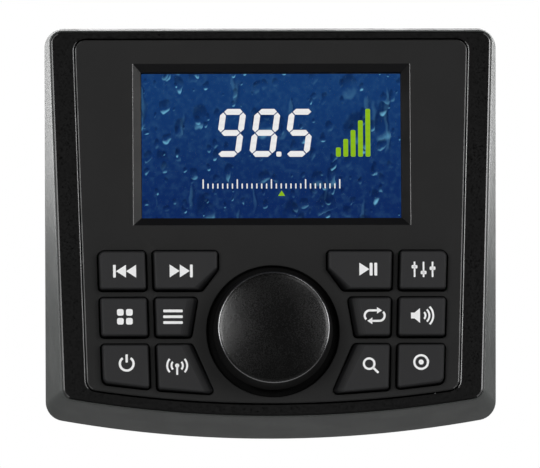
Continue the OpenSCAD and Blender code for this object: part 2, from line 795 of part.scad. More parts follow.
// Board behind the buttons
module control_board() {
    color([0.05, 0.3, 0.15]) on_face() difference() {
        layer(board_back, board_front) intersection() {
            polygon(outline(grown(PLATE, -board_t)));
            translate([-plate_w, bevel_low - plate_h]) square([2 * plate_w, plate_h]);
        }
        for (at = BOSSES) peg(at, board_back - cut, board_front + cut, screw_r + run_fit);
    }
}

// Screws that hold the control board to the plate's bosses
module control_board_screws() {
    color("silver") on_face() for (at = BOSSES) {
        peg(at, board_back, plate_back - seat_gap, screw_r);
        peg(at, board_back - board_head_t, board_back, board_head_r);
    }
}

// Processor on the back of the control board
module processor_chip() {
    color([0.1, 0.1, 0.1]) on_face() translate([ribbon_w + chip_w, link_v, 0])
        layer(board_back - chip_t, board_back) square([chip_w, chip_w], center = true);
}

// Socket for the display ribbon
module ribbon_socket() {
    color("ivory") on_face() translate([0, ribbon_v, 0])
        layer(board_front, board_front + ribbon_socket_t)
            square([ribbon_w + 2 * seat_gap, ribbon_socket_h], center = true);
}

// Flat cable from the display's lower edge back to its socket
module display_ribbon() {
    high = (lcd_front + lcd_back + ribbon_t) / 2;
    color("orange") on_face() across(ribbon_w) polygon([
        [lcd_low, high], [ribbon_v - ribbon_t / 2, high],
        [ribbon_v - ribbon_t / 2, board_front + ribbon_socket_t],
        [ribbon_v + ribbon_t / 2, board_front + ribbon_socket_t],
        [ribbon_v + ribbon_t / 2, high - ribbon_t], [lcd_low, high - ribbon_t]]);
}

// Sockets of the link ribbon, on the control board's back and the main board's front
module link_sockets() {
    color("ivory") {
        on_face() translate([0, link_v, 0]) layer(board_back - link_depth, board_back)
            square([ribbon_w + 2 * seat_gap, link_h], center = true);
        block([0, link_z], main_front - link_depth, main_front, ribbon_w + 2 * seat_gap, link_h);
    }
}

// Flat cable between the two boards, bowed upward
module link_ribbon() {
    run = [for (i = [0 : ribbon_steps]) let (t = i / ribbon_steps)
        [link_y + t * (main_front - link_depth - link_y), link_z + link_bow * pow(sin(180 * t), 2)]];
    color("lightgray") across(ribbon_w) polygon(concat(
        [for (p = run) p + [0, ribbon_t / 2]],
        [for (i = [ribbon_steps : -1 : 0]) run[i] - [0, ribbon_t / 2]]));
}

// Main board, parallel to the chassis back
module main_board() {
    color([0.05, 0.3, 0.15]) difference() {
        block([0, 0], main_front, main_back, 2 * main_half_w, 2 * main_half_h);
        for (at = STANDOFFS) rod(at, main_front - cut, main_back + cut, chassis_screw_r + run_fit);
    }
}

// Screws that hold the main board to the chassis
module main_board_screws() {
    color("silver") for (at = STANDOFFS)
        screw_back(at, main_front, board_t + standoff_h / 2, chassis_screw_r,
            board_head_r, board_head_t);
}

// Supply capacitors on the front of the main board
module capacitors() {
    color([0.1, 0.1, 0.2]) for (i = [-1, 0, 1])
        rod([capacitor_x, i * capacitor_pitch], main_front - capacitor_h, main_front, capacitor_r);
}

// Shielded radio tuner on the front of the main board
module tuner_can() {
    color("silver")
        block([tuner_x, 0], main_front - tuner_t, main_front, tuner_w, tuner_h);
}

// Power amplifier with its row of leads bent to the main board
module amplifier_chip() {
    lead_z = sink_z - amp_h / 2 - lead_drop;
    lead_y = amp_front + amp_t / 2;
    color([0.1, 0.1, 0.1]) {
        block([0, sink_z], amp_front, amp_back, amp_w, amp_h);
        for (i = [0 : amp_pins - 1]) let (x = (i - (amp_pins - 1) / 2) * amp_pitch) {
            block([x, lead_z], main_back, lead_y + pin_w / 2, pin_w, pin_w);
            block([x, (lead_z + sink_z - amp_h / 2) / 2], lead_y - pin_w / 2, lead_y + pin_w / 2,
                pin_w, sink_z - amp_h / 2 - lead_z + pin_w);
        }
    }
}

// Heat-conducting pad between the amplifier and the heat sink
module thermal_pad() {
    color("lightblue") block([0, sink_z], amp_back, can_back, amp_w, amp_h);
}

// Bar that presses the amplifier against the heat sink
module amplifier_clamp() {
    color("silver") difference() {
        block([0, sink_z], amp_front - clamp_t, amp_front, 2 * (clamp_screw_x + board_head_r), clamp_h);
        for (at = CLAMP_SCREWS)
            rod(at, amp_front - clamp_t - cut, amp_front + cut, chassis_screw_r + run_fit);
    }
}

// Screws through the clamp into the heat sink
module amplifier_screws() {
    color("silver") for (at = CLAMP_SCREWS)
        screw_back(at, amp_front - clamp_t, clamp_t + chassis_depth - amp_front, chassis_screw_r,
            board_head_r, board_head_t);
}

// Drawn steel can with its standoffs and the openings of the back
module rear_chassis() {
    color([0.15, 0.15, 0.16]) difference() {
        slice_y(flange_y, chassis_depth) polygon(rounded_box(can_half_w, can_half_h, chassis_r));
        slice_y(flange_y - cut, can_back)
            polygon(rounded_box(can_inner_w, can_inner_h, max(chassis_r - chassis_t, least_r)));
        for (at = concat(SINK_SCREWS, STANDOFFS))
            rod(at, can_back - cut, chassis_depth + cut, chassis_screw_r + run_fit);
        block([0, sink_z], can_back - cut, chassis_depth + cut,
            pedestal_w + 2 * seat_gap, pedestal_h + 2 * seat_gap);
        block([harness_x, socket_z], can_back - cut, chassis_depth + cut,
            harness_w + 2 * seat_gap, harness_h + 2 * seat_gap);
        rod([antenna_x, socket_z], can_back - cut, chassis_depth + cut,
            antenna_out_r + seat_gap);
        for (at = JACKS) rod(at, can_back - cut, chassis_depth + cut, jack_r + seat_gap);
    }
    color([0.15, 0.15, 0.16]) for (at = STANDOFFS) difference() {
        rod(at, main_back, can_back, standoff_r);
        rod(at, main_back - cut, can_back + cut, chassis_screw_r + run_fit);
    }
}

// Flange plate round the can, for the studs and the screws to the bezel
module chassis_flange() {
    color([0.15, 0.15, 0.16]) difference() {
        slice_y(flange_y, -gasket_t) difference() {
            polygon(outline(grown(BASE, -bezel_wall - seat_gap)));
            polygon(rounded_box(can_half_w + touch_gap, can_half_h + touch_gap, chassis_r + touch_gap));
        }
        for (at = STUDS) {
            rod(at, flange_y - cut, 0, stud_collar_r + run_fit);
            rod(at, flange_y - cut, flange_y + stud_head_t, stud_head_r + run_fit);
        }
        for (at = POSTS) rod(at, flange_y - cut, 0, chassis_screw_r + run_fit);
    }
}

// Screws through the flange into the bezel's posts
module chassis_screws() {
    color("silver") for (at = POSTS)
        screw_forward(at, -gasket_t, post_depth - seat_gap, chassis_screw_r, head_r, head_t);
}

// Studs clinched into the flange by a head and a collar
module mounting_studs() {
    color("silver") for (at = STUDS) {
        rod(at, flange_y, stud_len, stud_r);
        rod(at, flange_y, -gasket_t, stud_collar_r);
        rod(at, flange_y, flange_y + stud_head_t, stud_head_r);
    }
}

// Foam gasket between the bezel and the dash
module panel_gasket() {
    color([0.05, 0.05, 0.05]) difference() {
        slice_y(-gasket_t, 0) difference() {
            polygon(outline(grown(BASE, -seat_gap)));
            polygon(rounded_box(can_half_w + seat_gap, can_half_h + seat_gap, chassis_r + seat_gap));
        }
        for (at = STUDS) rod(at, -gasket_t - cut, cut, stud_r + stud_room);
        for (at = POSTS) rod(at, -gasket_t - cut, cut, head_r + seat_gap);
    }
}

// Finned heat sink with the pedestal that reaches the amplifier through the chassis
module heat_sink() {
    color("gray") difference() {
        union() {
            block([0, sink_z], chassis_depth, chassis_depth + sink_base, sink_w, sink_h);
            block([0, sink_z], can_back, chassis_depth + slab, pedestal_w, pedestal_h);
            for (i = [0 : fin_count - 1])
                block([(i - (fin_count - 1) / 2) * fin_pitch, sink_z], chassis_depth + sink_base - slab,
                    chassis_depth + sink_base + fin_h, fin_t, sink_h);
        }
        for (at = SINK_SCREWS)
            rod(at, chassis_depth - cut, chassis_depth + sink_base + cut, chassis_screw_r + run_fit);
        for (at = CLAMP_SCREWS)
            rod(at, can_back - cut, chassis_depth + seat_gap, chassis_screw_r + run_fit);
    }
}

// Screws that hold the heat sink to the chassis back
module heat_sink_screws() {
    color("silver") for (at = SINK_SCREWS)
        screw_forward(at, chassis_depth + sink_base, sink_base + 2 * chassis_t,
            chassis_screw_r, head_r, head_t);
}

// Shrouded harness socket, open to the rear
module harness_socket() {
    floor_y = socket_end - harness_depth;
    color([0.08, 0.08, 0.08]) difference() {
        block([harness_x, socket_z], main_back, socket_end, harness_w, harness_h);
        block([harness_x, socket_z], floor_y, socket_end + cut,
            harness_w - 2 * harness_wall, harness_h - 2 * harness_wall);
        for (at = HARNESS_PINS)
            block(at, main_back - cut, floor_y + cut, pin_w + 2 * run_fit, pin_w + 2 * run_fit);
    }
}

// Contact pins of the harness socket
module harness_pins() {
    color("gold") for (at = HARNESS_PINS)
        block(at, main_back, socket_end - harness_depth + harness_pin_len, pin_w, pin_w);
}

// Coaxial antenna socket
module antenna_socket() {
    color("silver") difference() {
        rod([antenna_x, socket_z], main_back, socket_end, antenna_out_r);
        rod([antenna_x, socket_z], socket_end - antenna_depth, socket_end + cut, antenna_r);
        rod([antenna_x, socket_z], main_back + antenna_wall, socket_end, contact_r);
    }
}

// Pair of line-out jacks
module line_out_jacks() {
    color("gold") for (at = JACKS) difference() {
        union() {
            rod(at, main_back, can_back - seat_gap, jack_base_r);
            rod(at, main_back, socket_end + jack_reach, jack_r);
        }
        rod(at, can_back, socket_end + jack_reach + cut, contact_r);
    }
}

outer_bezel();
face_frame();
face_plate();
display_window();
window_seal();
lcd_panel();
lcd_tray();
button_previous();
button_next();
button_mode();
button_menu();
button_power();
button_band();
button_equaliser();
button_play_pause();
button_loudness();
button_repeat();
button_mono();
button_scan();
volume_knob();
knob_cap();
encoder_shaft();
push_slider();
encoder_body();
encoder_nut();
encoder_washer();
keypad_mat();
tact_switches();
control_board();
control_board_screws();
processor_chip();
ribbon_socket();
display_ribbon();
link_sockets();
link_ribbon();
main_board();
main_board_screws();
capacitors();
tuner_can();
amplifier_chip();
thermal_pad();
amplifier_clamp();
amplifier_screws();
rear_chassis();
chassis_flange();
chassis_screws();
mounting_studs();
panel_gasket();
heat_sink();
heat_sink_screws();
harness_socket();
harness_pins();
antenna_socket();
line_out_jacks();
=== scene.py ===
"""Looks of a dash-mounted marine stereo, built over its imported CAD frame.

Lengths are millimetres on the object. A place on the control face is (u, v, w): u to the right,
v up the face and w out of the face frame's front. Face turns it into the shared frame's metres.
"""
import json
import logging
import math
from dataclasses import dataclass, field
from enum import Enum
from typing import Callable, Iterable, Sequence

import bmesh
import bpy
from mathutils import Matrix, Vector


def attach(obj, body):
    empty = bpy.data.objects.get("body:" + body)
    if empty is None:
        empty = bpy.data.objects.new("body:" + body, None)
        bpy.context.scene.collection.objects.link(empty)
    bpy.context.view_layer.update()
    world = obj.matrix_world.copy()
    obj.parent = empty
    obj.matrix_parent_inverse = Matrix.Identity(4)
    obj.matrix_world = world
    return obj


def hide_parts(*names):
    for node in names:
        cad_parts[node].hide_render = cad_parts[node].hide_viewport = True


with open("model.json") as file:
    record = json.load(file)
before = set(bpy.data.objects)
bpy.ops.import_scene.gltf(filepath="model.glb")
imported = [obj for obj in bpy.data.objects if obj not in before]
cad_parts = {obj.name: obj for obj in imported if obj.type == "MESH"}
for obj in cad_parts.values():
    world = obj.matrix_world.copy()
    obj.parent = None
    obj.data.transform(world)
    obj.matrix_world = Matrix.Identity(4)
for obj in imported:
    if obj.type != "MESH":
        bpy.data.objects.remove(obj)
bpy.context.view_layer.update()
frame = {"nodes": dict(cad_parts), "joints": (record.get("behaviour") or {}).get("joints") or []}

LOG = logging.getLogger("marine_stereo")
MM = 0.001
HOUSING = "housing"
LEAST_CORNER = 0.25
BREAK_ANGLE = 40.0
BREAK_SEGMENTS = 2
RELIEF_STRENGTH = 0.6

Point = tuple[float, float]
Corner = tuple[float, float, float]
Colour = tuple[float, float, float]
Spot = tuple[float, float, float]
Loop = list[Vector]
BLACK: Colour = (0.0, 0.0, 0.0)


# Outlines

def corner_arc(before: Point, at: Point, after: Point, radius: float, steps: int) -> list[Point]:
    """Rounds one corner of an outline.

    Args:
        before: The corner's neighbour on one side.
        at: The corner itself.
        after: The neighbour on the other side.
        radius: Radius of the arc.
        steps: Number of segments along the arc.

    Returns:
        The points of the arc, from the first side to the second.
    """
    corner = Vector(at)
    one = (Vector(before) - corner).normalized()
    two = (Vector(after) - corner).normalized()
    half = math.acos(max(-1.0, min(1.0, one.dot(two)))) / 2
    centre = corner + (one + two).normalized() * (radius / math.sin(half))
    first = corner + one * (radius / math.tan(half)) - centre
    last = corner + two * (radius / math.tan(half)) - centre
    start = math.atan2(first.y, first.x)
    turn = math.remainder(math.atan2(last.y, last.x) - start, 2 * math.pi)
    angles = (start + turn * i / steps for i in range(steps + 1))
    return [(centre.x + radius * math.cos(a), centre.y + radius * math.sin(a)) for a in angles]


def rounded(corners: Sequence[Corner], steps: int = 6) -> list[Point]:
    """Draws a closed outline through corners.

    Args:
        corners: Corners as (x, y, radius), where a radius of 0 keeps the point.
        steps: Number of segments on each round corner.

    Returns:
        The points of the outline.
    """
    points: list[Point] = []
    for i, (x, y, radius) in enumerate(corners):
        if radius > 0:
            before, after = corners[i - 1][:2], corners[(i + 1) % len(corners)][:2]
            points += corner_arc(before, (x, y), after, radius, steps)
        else:
            points.append((x, y))
    return points


def rectangle(half_w: float, half_h: float, radius: float, centre: Point = (0.0, 0.0),
              steps: int = 6) -> list[Point]:
    """Draws a rectangle with round corners.

    Args:
        half_w: Half its width.
        half_h: Half its height.
        radius: Corner radius.
        centre: Its middle.
        steps: Number of segments on each corner.

    Returns:
        The points of the outline.
    """
    x, y = centre
    return rounded([(x - half_w, y + half_h, radius), (x - half_w, y - half_h, radius),
                    (x + half_w, y - half_h, radius), (x + half_w, y + half_h, radius)], steps)


def circle(radius: float, centre: Point = (0.0, 0.0), steps: int = 64) -> list[Point]:
    """Draws a circle.

    Args:
        radius: Its radius.
        centre: Its middle.
        steps: Number of points.

    Returns:
        The points of the circle.
    """
    angles = (2 * math.pi * i / steps for i in range(steps))
    return [(centre[0] + radius * math.cos(a), centre[1] + radius * math.sin(a)) for a in angles]


def quarter_round(radius: float, steps: int = 4) -> list[tuple[float, float]]:
    """Rolls an edge over.

    Args:
        radius: Radius of the roll.
        steps: Number of segments.

    Returns:
        Pairs of (inset, drop below the top), from the side to the top.
    """
    angles = (math.pi / 2 * i / steps for i in range(steps + 1))
    return [(radius * (1 - math.cos(a)), radius * (1 - math.sin(a))) for a in angles]


@dataclass(frozen=True)
class PanelShape:
    """Outline that plate, frame and bezel share: straight top and sides, curved lower edge."""

    half_w: float
    taper: float
    top: float
    low: float
    arc_r: float
    corner_r: float

    def half_width(self, v: float) -> float:
        """Half the width at height v."""
        return self.half_w + math.tan(math.radians(self.taper)) * v

    def lower_edge(self, u: float) -> float:
        """Height of the curved lower edge at u."""
        return self.low + self.arc_r - math.sqrt(self.arc_r ** 2 - u ** 2)

    def grown(self, by: float) -> "PanelShape":
        """The same shape, grown outward on every side."""
        return PanelShape(self.half_w + by / math.cos(math.radians(self.taper)), self.taper, self.top + by,
                          self.low - by, self.arc_r + by, max(self.corner_r + by, LEAST_CORNER))

    def trimmed(self, side: float, top: float, low: float) -> "PanelShape":
        """The same shape, drawn in by its own amount at the sides, the top and the lower edge."""
        return PanelShape(self.half_w - side, self.taper, self.top - top, self.low + low, self.arc_r,
                          self.corner_r)

    def outline(self, arc_steps: int = 28, corner_steps: int = 8) -> list[Point]:
        """Draws the shape.

        Args:
            arc_steps: Number of segments along the lower edge.
            corner_steps: Number of segments on each corner.

        Returns:
            The points of the outline, from the upper left corner down.
        """
        side = self.half_width(self.lower_edge(self.half_width(self.low)))
        low, high = self.lower_edge(side), self.half_width(self.top)
        spots = (side * (2 * i / arc_steps - 1) for i in range(1, arc_steps))
        return rounded([(-high, self.top, self.corner_r), (-side, low, self.corner_r),
                        *((u, self.lower_edge(u), 0.0) for u in spots),
                        (side, low, self.corner_r), (high, self.top, self.corner_r)], corner_steps)


@dataclass(frozen=True)
class Face:
    """The tilted control face: turns (u, v, w) into a place in the shared frame."""

    origin: Vector
    up: Vector
    out: Vector

    @classmethod
    def from_joint(cls, joint: dict) -> "Face":
        """Finds the face from the knob's hinge.

        Args:
            joint: The record's joint that turns the knob, on the face's middle line.

        Returns:
            The face that the hinge stands square on.
        """
        out = Vector(joint["axis"]).normalized()
        up = Vector((0.0, out.z, -out.y))
        foot = Vector(joint["pos_m"])
        return cls(foot - up * (foot.z / up.z), up, out)

    def point(self, u: float, v: float, w: float) -> Vector:
        """A place on the face, in the shared frame's metres."""
        return self.origin + (Vector((u, 0.0, 0.0)) + self.up * v + self.out * w) * MM

    def ring(self, outline: Iterable[Point], w: float) -> Loop:
        """An outline at one height above the face."""
        return [self.point(u, v, w) for u, v in outline]


def dash_ring(outline: Iterable[Point], y: float) -> Loop:
    """An X-Z outline at one depth y behind the dash surface."""
    return [Vector((x, y, z)) * MM for x, z in outline]


# Meshes

class MeshSketch:
    """Collects the rings and faces of one piece, then turns them into a Blender object."""

    def __init__(self) -> None:
        """Starts with an empty mesh and the first material slot."""
        self.bm = bmesh.new()
        self.material = 0

    def ring(self, loop: Iterable[Vector]) -> list[bmesh.types.BMVert]:
        """Adds the points of one ring."""
        return [self.bm.verts.new(p) for p in loop]

    def face(self, verts: Sequence[bmesh.types.BMVert]) -> None:
        """Adds one face in the current material slot."""
        self.bm.faces.new(verts).material_index = self.material

    def loft(self, loops: Sequence[Loop], closed: bool = False,
             bands: dict[int, int] | None = None) -> list[list[bmesh.types.BMVert]]:
        """Skins a row of rings with equal numbers of points.

        Args:
            loops: The rings, in order.
            closed: Whether the last ring joins the first.
            bands: Material slots of single strips, by the number of the ring that each starts from.

        Returns:
            The vertices of each ring.
        """
        rings = [self.ring(loop) for loop in loops]
        pairs = list(zip(rings, rings[1:]))
        if closed:
            pairs.append((rings[-1], rings[0]))
        usual = self.material
        for number, (a, b) in enumerate(pairs):
            self.material = (bands or {}).get(number, usual)
            for i in range(len(a)):
                j = (i + 1) % len(a)
                self.face((a[i], a[j], b[j], b[i]))
        self.material = usual
        return rings

    def fill(self, *rings: Sequence[bmesh.types.BMVert]) -> None:
        """Closes a flat region.

        Args:
            *rings: Its edge, then the edges of the holes in it.
        """
        edges = []
        for ring in rings:
            for i, vert in enumerate(ring):
                pair = (ring[i - 1], vert)
                edges.append(self.bm.edges.get(pair) or self.bm.edges.new(pair))
        made = bmesh.ops.triangle_fill(self.bm, use_beauty=True, use_dissolve=False, edges=edges)
        for item in made["geom"]:
            if isinstance(item, bmesh.types.BMFace):
                item.material_index = self.material

    def solid(self, loops: Sequence[Loop]) -> None:
        """Skins a row of rings and closes both ends.

        Args:
            loops: The rings, in order.
        """
        rings = self.loft(loops)
        self.face(list(reversed(rings[0])))
        self.face(rings[-1])

    def lathe(self, profile: Sequence[tuple[float, float]], place: Callable[[float, float, float], Vector],
              centre: Point, steps: int = 96, bands: dict[int, int] | None = None) -> None:
        """Turns a profile round an axis.

        Args:
            profile: Pairs of (radius, height), where a radius of 0 closes an end.
            place: Turns (x, y, height) into a place in the shared frame.
            centre: The axis in x and y.
            steps: Number of points round the axis.
            bands: Material slots of single strips, by the number of the pair that each ends at.
        """
        before: list[bmesh.types.BMVert] = []
        usual = self.material
        for number, (radius, height) in enumerate(profile):
            self.material = (bands or {}).get(number, usual)
            if radius > 0:
                now = self.ring(place(x, y, height) for x, y in circle(radius, centre, steps))
            else:
                now = [self.bm.verts.new(place(centre[0], centre[1], height))]
            for i in range(steps if before else 0):
                j = (i + 1) % steps
                corners = [before[i % len(before)], before[j % len(before)],
                           now[j % len(now)], now[i % len(now)]]
                self.face(list(dict.fromkeys(corners)))
            before = now
        self.material = usual

    def recolour(self, slot: int, new: int, least_x: float) -> None:
        """Moves faces that look away from X to another material slot.

        Args:
            slot: The slot they are in.
            new: The slot they go to.
            least_x: Share of X in a face's normal from which it stays.
        """
        self.bm.normal_update()
        for face in self.bm.faces:
            if face.material_index == slot and abs(face.normal.x) < least_x:
                face.material_index = new

    def finish(self, name: str, sharp: float = 32.0) -> bpy.types.Object:
        """Makes the object.

        Args:
            name: The piece's name.
            sharp: Angle in degrees above which an edge stays sharp.

        Returns:
            The new object, smooth shaded.
        """
        bmesh.ops.recalc_face_normals(self.bm, faces=self.bm.faces[:])
        mesh = bpy.data.meshes.new(name)
        self.bm.to_mesh(mesh)
        self.bm.free()
        mesh.shade_smooth()
        mesh.set_sharp_from_angle(angle=math.radians(sharp))
        piece = bpy.data.objects.new(name, mesh)
        bpy.context.scene.collection.objects.link(piece)
        return piece


def settle(piece: bpy.types.Object, body: str, finishes: Sequence["Finish"],
           nodes: Sequence[str] = ()) -> None:
    """Dresses a piece, puts it on its body and reports it.

    Args:
        piece: The new object.
        body: The CAD body that it moves with.
        finishes: Its finishes, one for each material index.
        nodes: CAD nodes that it stands for.
    """
    for finish in finishes:
        piece.data.materials.append(finish.material())
    weighted = piece.modifiers.new("even_shading", "WEIGHTED_NORMAL")
    weighted.keep_sharp = True
    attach(piece, body)
    if nodes:
        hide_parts(*nodes)
    LOG.info("%s: %d faces on %s", piece.name, len(piece.data.polygons), body)


def dress(node: str, finish: "Finish", edge: float = 0.0) -> None:
    """Gives a CAD node its finish, and broken edges.

    Args:
        node: The CAD node, which stays as it is.
        finish: Its finish.
        edge: Width of the broken edges in millimetres, or 0 for none.
    """
    piece = frame["nodes"][node]
    piece.data.materials.clear()
    piece.data.materials.append(finish.material())
    if edge > 0:
        broken = piece.modifiers.new("broken_edges", "BEVEL")
        broken.width = edge * MM
        broken.segments = BREAK_SEGMENTS
        broken.limit_method = "ANGLE"
        broken.angle_limit = math.radians(BREAK_ANGLE)
        broken.harden_normals = False
        weighted = piece.modifiers.new("even_shading", "WEIGHTED_NORMAL")
        weighted.keep_sharp = False
    LOG.info("%s: CAD node, %s", node, finish.name)


# Shader graphs

Source = bpy.types.NodeSocket | float | tuple


class Graph:
    """Short way to lay nodes in a tree and join them."""

    def __init__(self, tree: bpy.types.NodeTree) -> None:
        """Works on one node tree."""
        self.tree = tree

    def feed(self, socket: bpy.types.NodeSocket, value: Source) -> None:
        """Links a socket to another, or sets its own value.

        Args:
            socket: The input that is fed.
            value: An output to link it to, or the value it takes.
        """
        if isinstance(value, bpy.types.NodeSocket):
            self.tree.links.new(value, socket)
        elif socket.type == "RGBA" and len(value) == 3:
            socket.default_value = (*value, 1.0)
        else:
            socket.default_value = value

    def node(self, kind: str, inputs: dict[str | int, Source] | None = None,
             **settings: object) -> bpy.types.Node:
        """Adds a node.

        Args:
            kind: Blender's name for the node type.
            inputs: What goes into its sockets, by name or place.
            **settings: Its own settings.

        Returns:
            The node.
        """
        made = self.tree.nodes.new(kind)
        for key, value in settings.items():
            setattr(made, key, value)
        for key, value in (inputs or {}).items():
            self.feed(made.inputs[key], value)
        return made

    def math(self, operation: str, a: Source, b: Source = 0.0, clamp: bool = False) -> bpy.types.NodeSocket:
        """The result of one sum on two values."""
        return self.node("ShaderNodeMath", {0: a, 1: b}, operation=operation, use_clamp=clamp).outputs[0]

    def span(self, value: Source, low: float, high: float, to_low: float = 0.0,
             to_high: float = 1.0) -> bpy.types.NodeSocket:
        """Maps a value smoothly from one range to another.

        Args:
            value: The value.
            low: Start of its range.
            high: End of its range, which may lie below the start.
            to_low: What the start becomes.
            to_high: What the end becomes.

        Returns:
            The mapped value.
        """
        return self.node("ShaderNodeMapRange", {
            "Value": value, "From Min": low, "From Max": high, "To Min": to_low, "To Max": to_high},
            interpolation_type="SMOOTHSTEP").outputs[0]

    def mix(self, share: Source, a: Source, b: Source, blend: str = "MIX") -> bpy.types.NodeSocket:
        """Mixes two colours.

        Args:
            share: Share of the second colour.
            a: The first colour.
            b: The second colour.
            blend: Blender's name for the way they mix.

        Returns:
            The mixed colour.
        """
        made = self.node("ShaderNodeMix", data_type="RGBA", blend_type=blend)
        for socket, value in zip((made.inputs[0], made.inputs[6], made.inputs[7]), (share, a, b)):
            self.feed(socket, value)
        return made.outputs[2]

    def place(self, stretch: Spot = (1.0, 1.0, 1.0)) -> bpy.types.NodeSocket:
        """Places on the piece in metres, stretched along each axis."""
        spot = self.node("ShaderNodeTexCoord").outputs["Object"]
        return self.node("ShaderNodeMapping", {"Vector": spot, "Scale": stretch}).outputs[0]

    def noise(self, scale: Source, detail: float = 2.0,
              stretch: Spot = (1.0, 1.0, 1.0)) -> bpy.types.NodeSocket:
        """Noise of a scale in cycles to the metre."""
        return self.node("ShaderNodeTexNoise", {"Vector": self.place(stretch), "Scale": scale,
                                                "Detail": detail}).outputs[0]

    def effect(self, kind: "Effect", inputs: dict[str | int, Source]) -> bpy.types.bpy_prop_collection:
        """What a shared effect gives for its inputs."""
        return self.node("ShaderNodeGroup", inputs, node_tree=kind.group()).outputs

    def grey(self, level: Source) -> bpy.types.NodeSocket:
        """A grey of one level."""
        return self.node("ShaderNodeCombineColor", {0: level, 1: level, 2: level}).outputs[0]

    def vector(self, operation: str, a: Source, b: Source) -> bpy.types.bpy_prop_collection:
        """What one sum on two vectors gives."""
        return self.node("ShaderNodeVectorMath", {0: a, 1: b}, operation=operation).outputs

    def cells(self, at: Source, scale: Source, **settings: object) -> bpy.types.bpy_prop_collection:
        """Scattered cells, of a number to the metre."""
        return self.node("ShaderNodeTexVoronoi", {"Vector": at, "Scale": scale}, **settings).outputs


class Effect(Enum):
    """Shared effects, each a node group that is built once."""

    GRAIN = "moulded_grain"
    WEAR = "edge_wear"
    FLAKE = "metal_flake"
    DRAWN = "drawn_metal"
    HANDLING = "handling_sheen"

    def group(self) -> bpy.types.ShaderNodeTree:
        """Finds the effect's node group, and builds it the first time.

        Returns:
            The node group.
        """
        found = bpy.data.node_groups.get(self.value)
        if found is None:
            found = bpy.data.node_groups.new(self.value, "ShaderNodeTree")
            EFFECT_BUILDERS[self](found)
        return found


def effect_ends(tree: bpy.types.ShaderNodeTree, inputs: dict[str, float | Colour],
                outputs: dict[str, str]) -> tuple[Graph, bpy.types.Node, bpy.types.Node]:
    """Gives a node group its sockets.

    Args:
        tree: The empty group.
        inputs: Names of its inputs with their first values, where a colour is three numbers.
        outputs: Names of its outputs with their socket types.

    Returns:
        A graph on the group, its input node and its output node.
    """
    for name, value in inputs.items():
        kind = "NodeSocketColor" if isinstance(value, tuple) else "NodeSocketFloat"
        socket = tree.interface.new_socket(name, in_out="INPUT", socket_type=kind)
        socket.default_value = (*value, 1.0) if isinstance(value, tuple) else value
    for name, kind in outputs.items():
        tree.interface.new_socket(name, in_out="OUTPUT", socket_type=kind)
    graph = Graph(tree)
    return graph, graph.node("NodeGroupInput"), graph.node("NodeGroupOutput")


def build_grain(tree: bpy.types.ShaderNodeTree) -> None:
    """Spark-eroded texture of a moulding: fine pits that lift the colour and the roughness.

    Args:
        tree: The empty group.
    """
    drift_share, rough_share = 0.12, 0.3
    graph, given, made = effect_ends(
        tree, {"Colour": (0.5, 0.5, 0.5), "Scale": 5000.0, "Contrast": 0.2, "Roughness": 0.5},
        {"Colour": "NodeSocketColor", "Roughness": "NodeSocketFloat", "Height": "NodeSocketFloat"})
    fine = graph.noise(given.outputs["Scale"], detail=3.0)
    broad = graph.noise(60.0, detail=2.0)
    lift = graph.math("MULTIPLY", graph.math("SUBTRACT", fine, 0.5), given.outputs["Contrast"])
    drift = graph.math("MULTIPLY", graph.math("SUBTRACT", broad, 0.5), drift_share)
    gain = graph.math("ADD", graph.math("ADD", lift, drift), 1.0)
    colour = graph.mix(1.0, given.outputs["Colour"], graph.grey(gain), "MULTIPLY")
    rough = graph.math("ADD", given.outputs["Roughness"], graph.math("MULTIPLY", lift, rough_share), True)
    graph.feed(made.inputs["Colour"], colour)
    graph.feed(made.inputs["Roughness"], rough)
    graph.feed(made.inputs["Height"], fine)


def build_wear(tree: bpy.types.ShaderNodeTree) -> None:
    """Paler colour where a convex edge is worn.

    Args:
        tree: The empty group.
    """
    graph, given, made = effect_ends(
        tree, {"Colour": (0.5, 0.5, 0.5), "Worn Colour": (0.8, 0.8, 0.8), "Amount": 0.3},
        {"Colour": "NodeSocketColor", "Mask": "NodeSocketFloat"})
    bent = graph.node("ShaderNodeNewGeometry").outputs["Pointiness"]
    sharp = graph.span(bent, low=0.52, high=0.62)
    patchy = graph.span(graph.noise(220.0, detail=4.0), low=0.3, high=0.7, to_low=0.4)
    mask = graph.math("MULTIPLY", graph.math("MULTIPLY", sharp, patchy), given.outputs["Amount"], True)
    graph.feed(made.inputs["Colour"], graph.mix(mask, given.outputs["Colour"], given.outputs["Worn Colour"]))
    graph.feed(made.inputs["Mask"], mask)


def build_flake(tree: bpy.types.ShaderNodeTree) -> None:
    """Fine flakes in a satin lacquer: each has its own shade and lies at its own height.

    Args:
        tree: The empty group.
    """
    rareness, flash, ground = 6.0, 3.0, 0.92
    graph, given, made = effect_ends(
        tree, {"Colour": (0.5, 0.5, 0.5), "Scale": 4000.0, "Sparkle": 0.5},
        {"Colour": "NodeSocketColor", "Height": "NodeSocketFloat"})
    cells = graph.cells(graph.place(), given.outputs["Scale"])
    tone = graph.node("ShaderNodeSeparateColor", {0: cells["Color"]}).outputs[0]
    bright = graph.math("MULTIPLY", graph.math("POWER", tone, rareness), given.outputs["Sparkle"])
    gain = graph.math("ADD", graph.math("MULTIPLY", bright, flash), ground)
    colour = graph.mix(1.0, given.outputs["Colour"], graph.grey(gain), "MULTIPLY")
    graph.feed(made.inputs["Colour"], colour)
    graph.feed(made.inputs["Height"], tone)


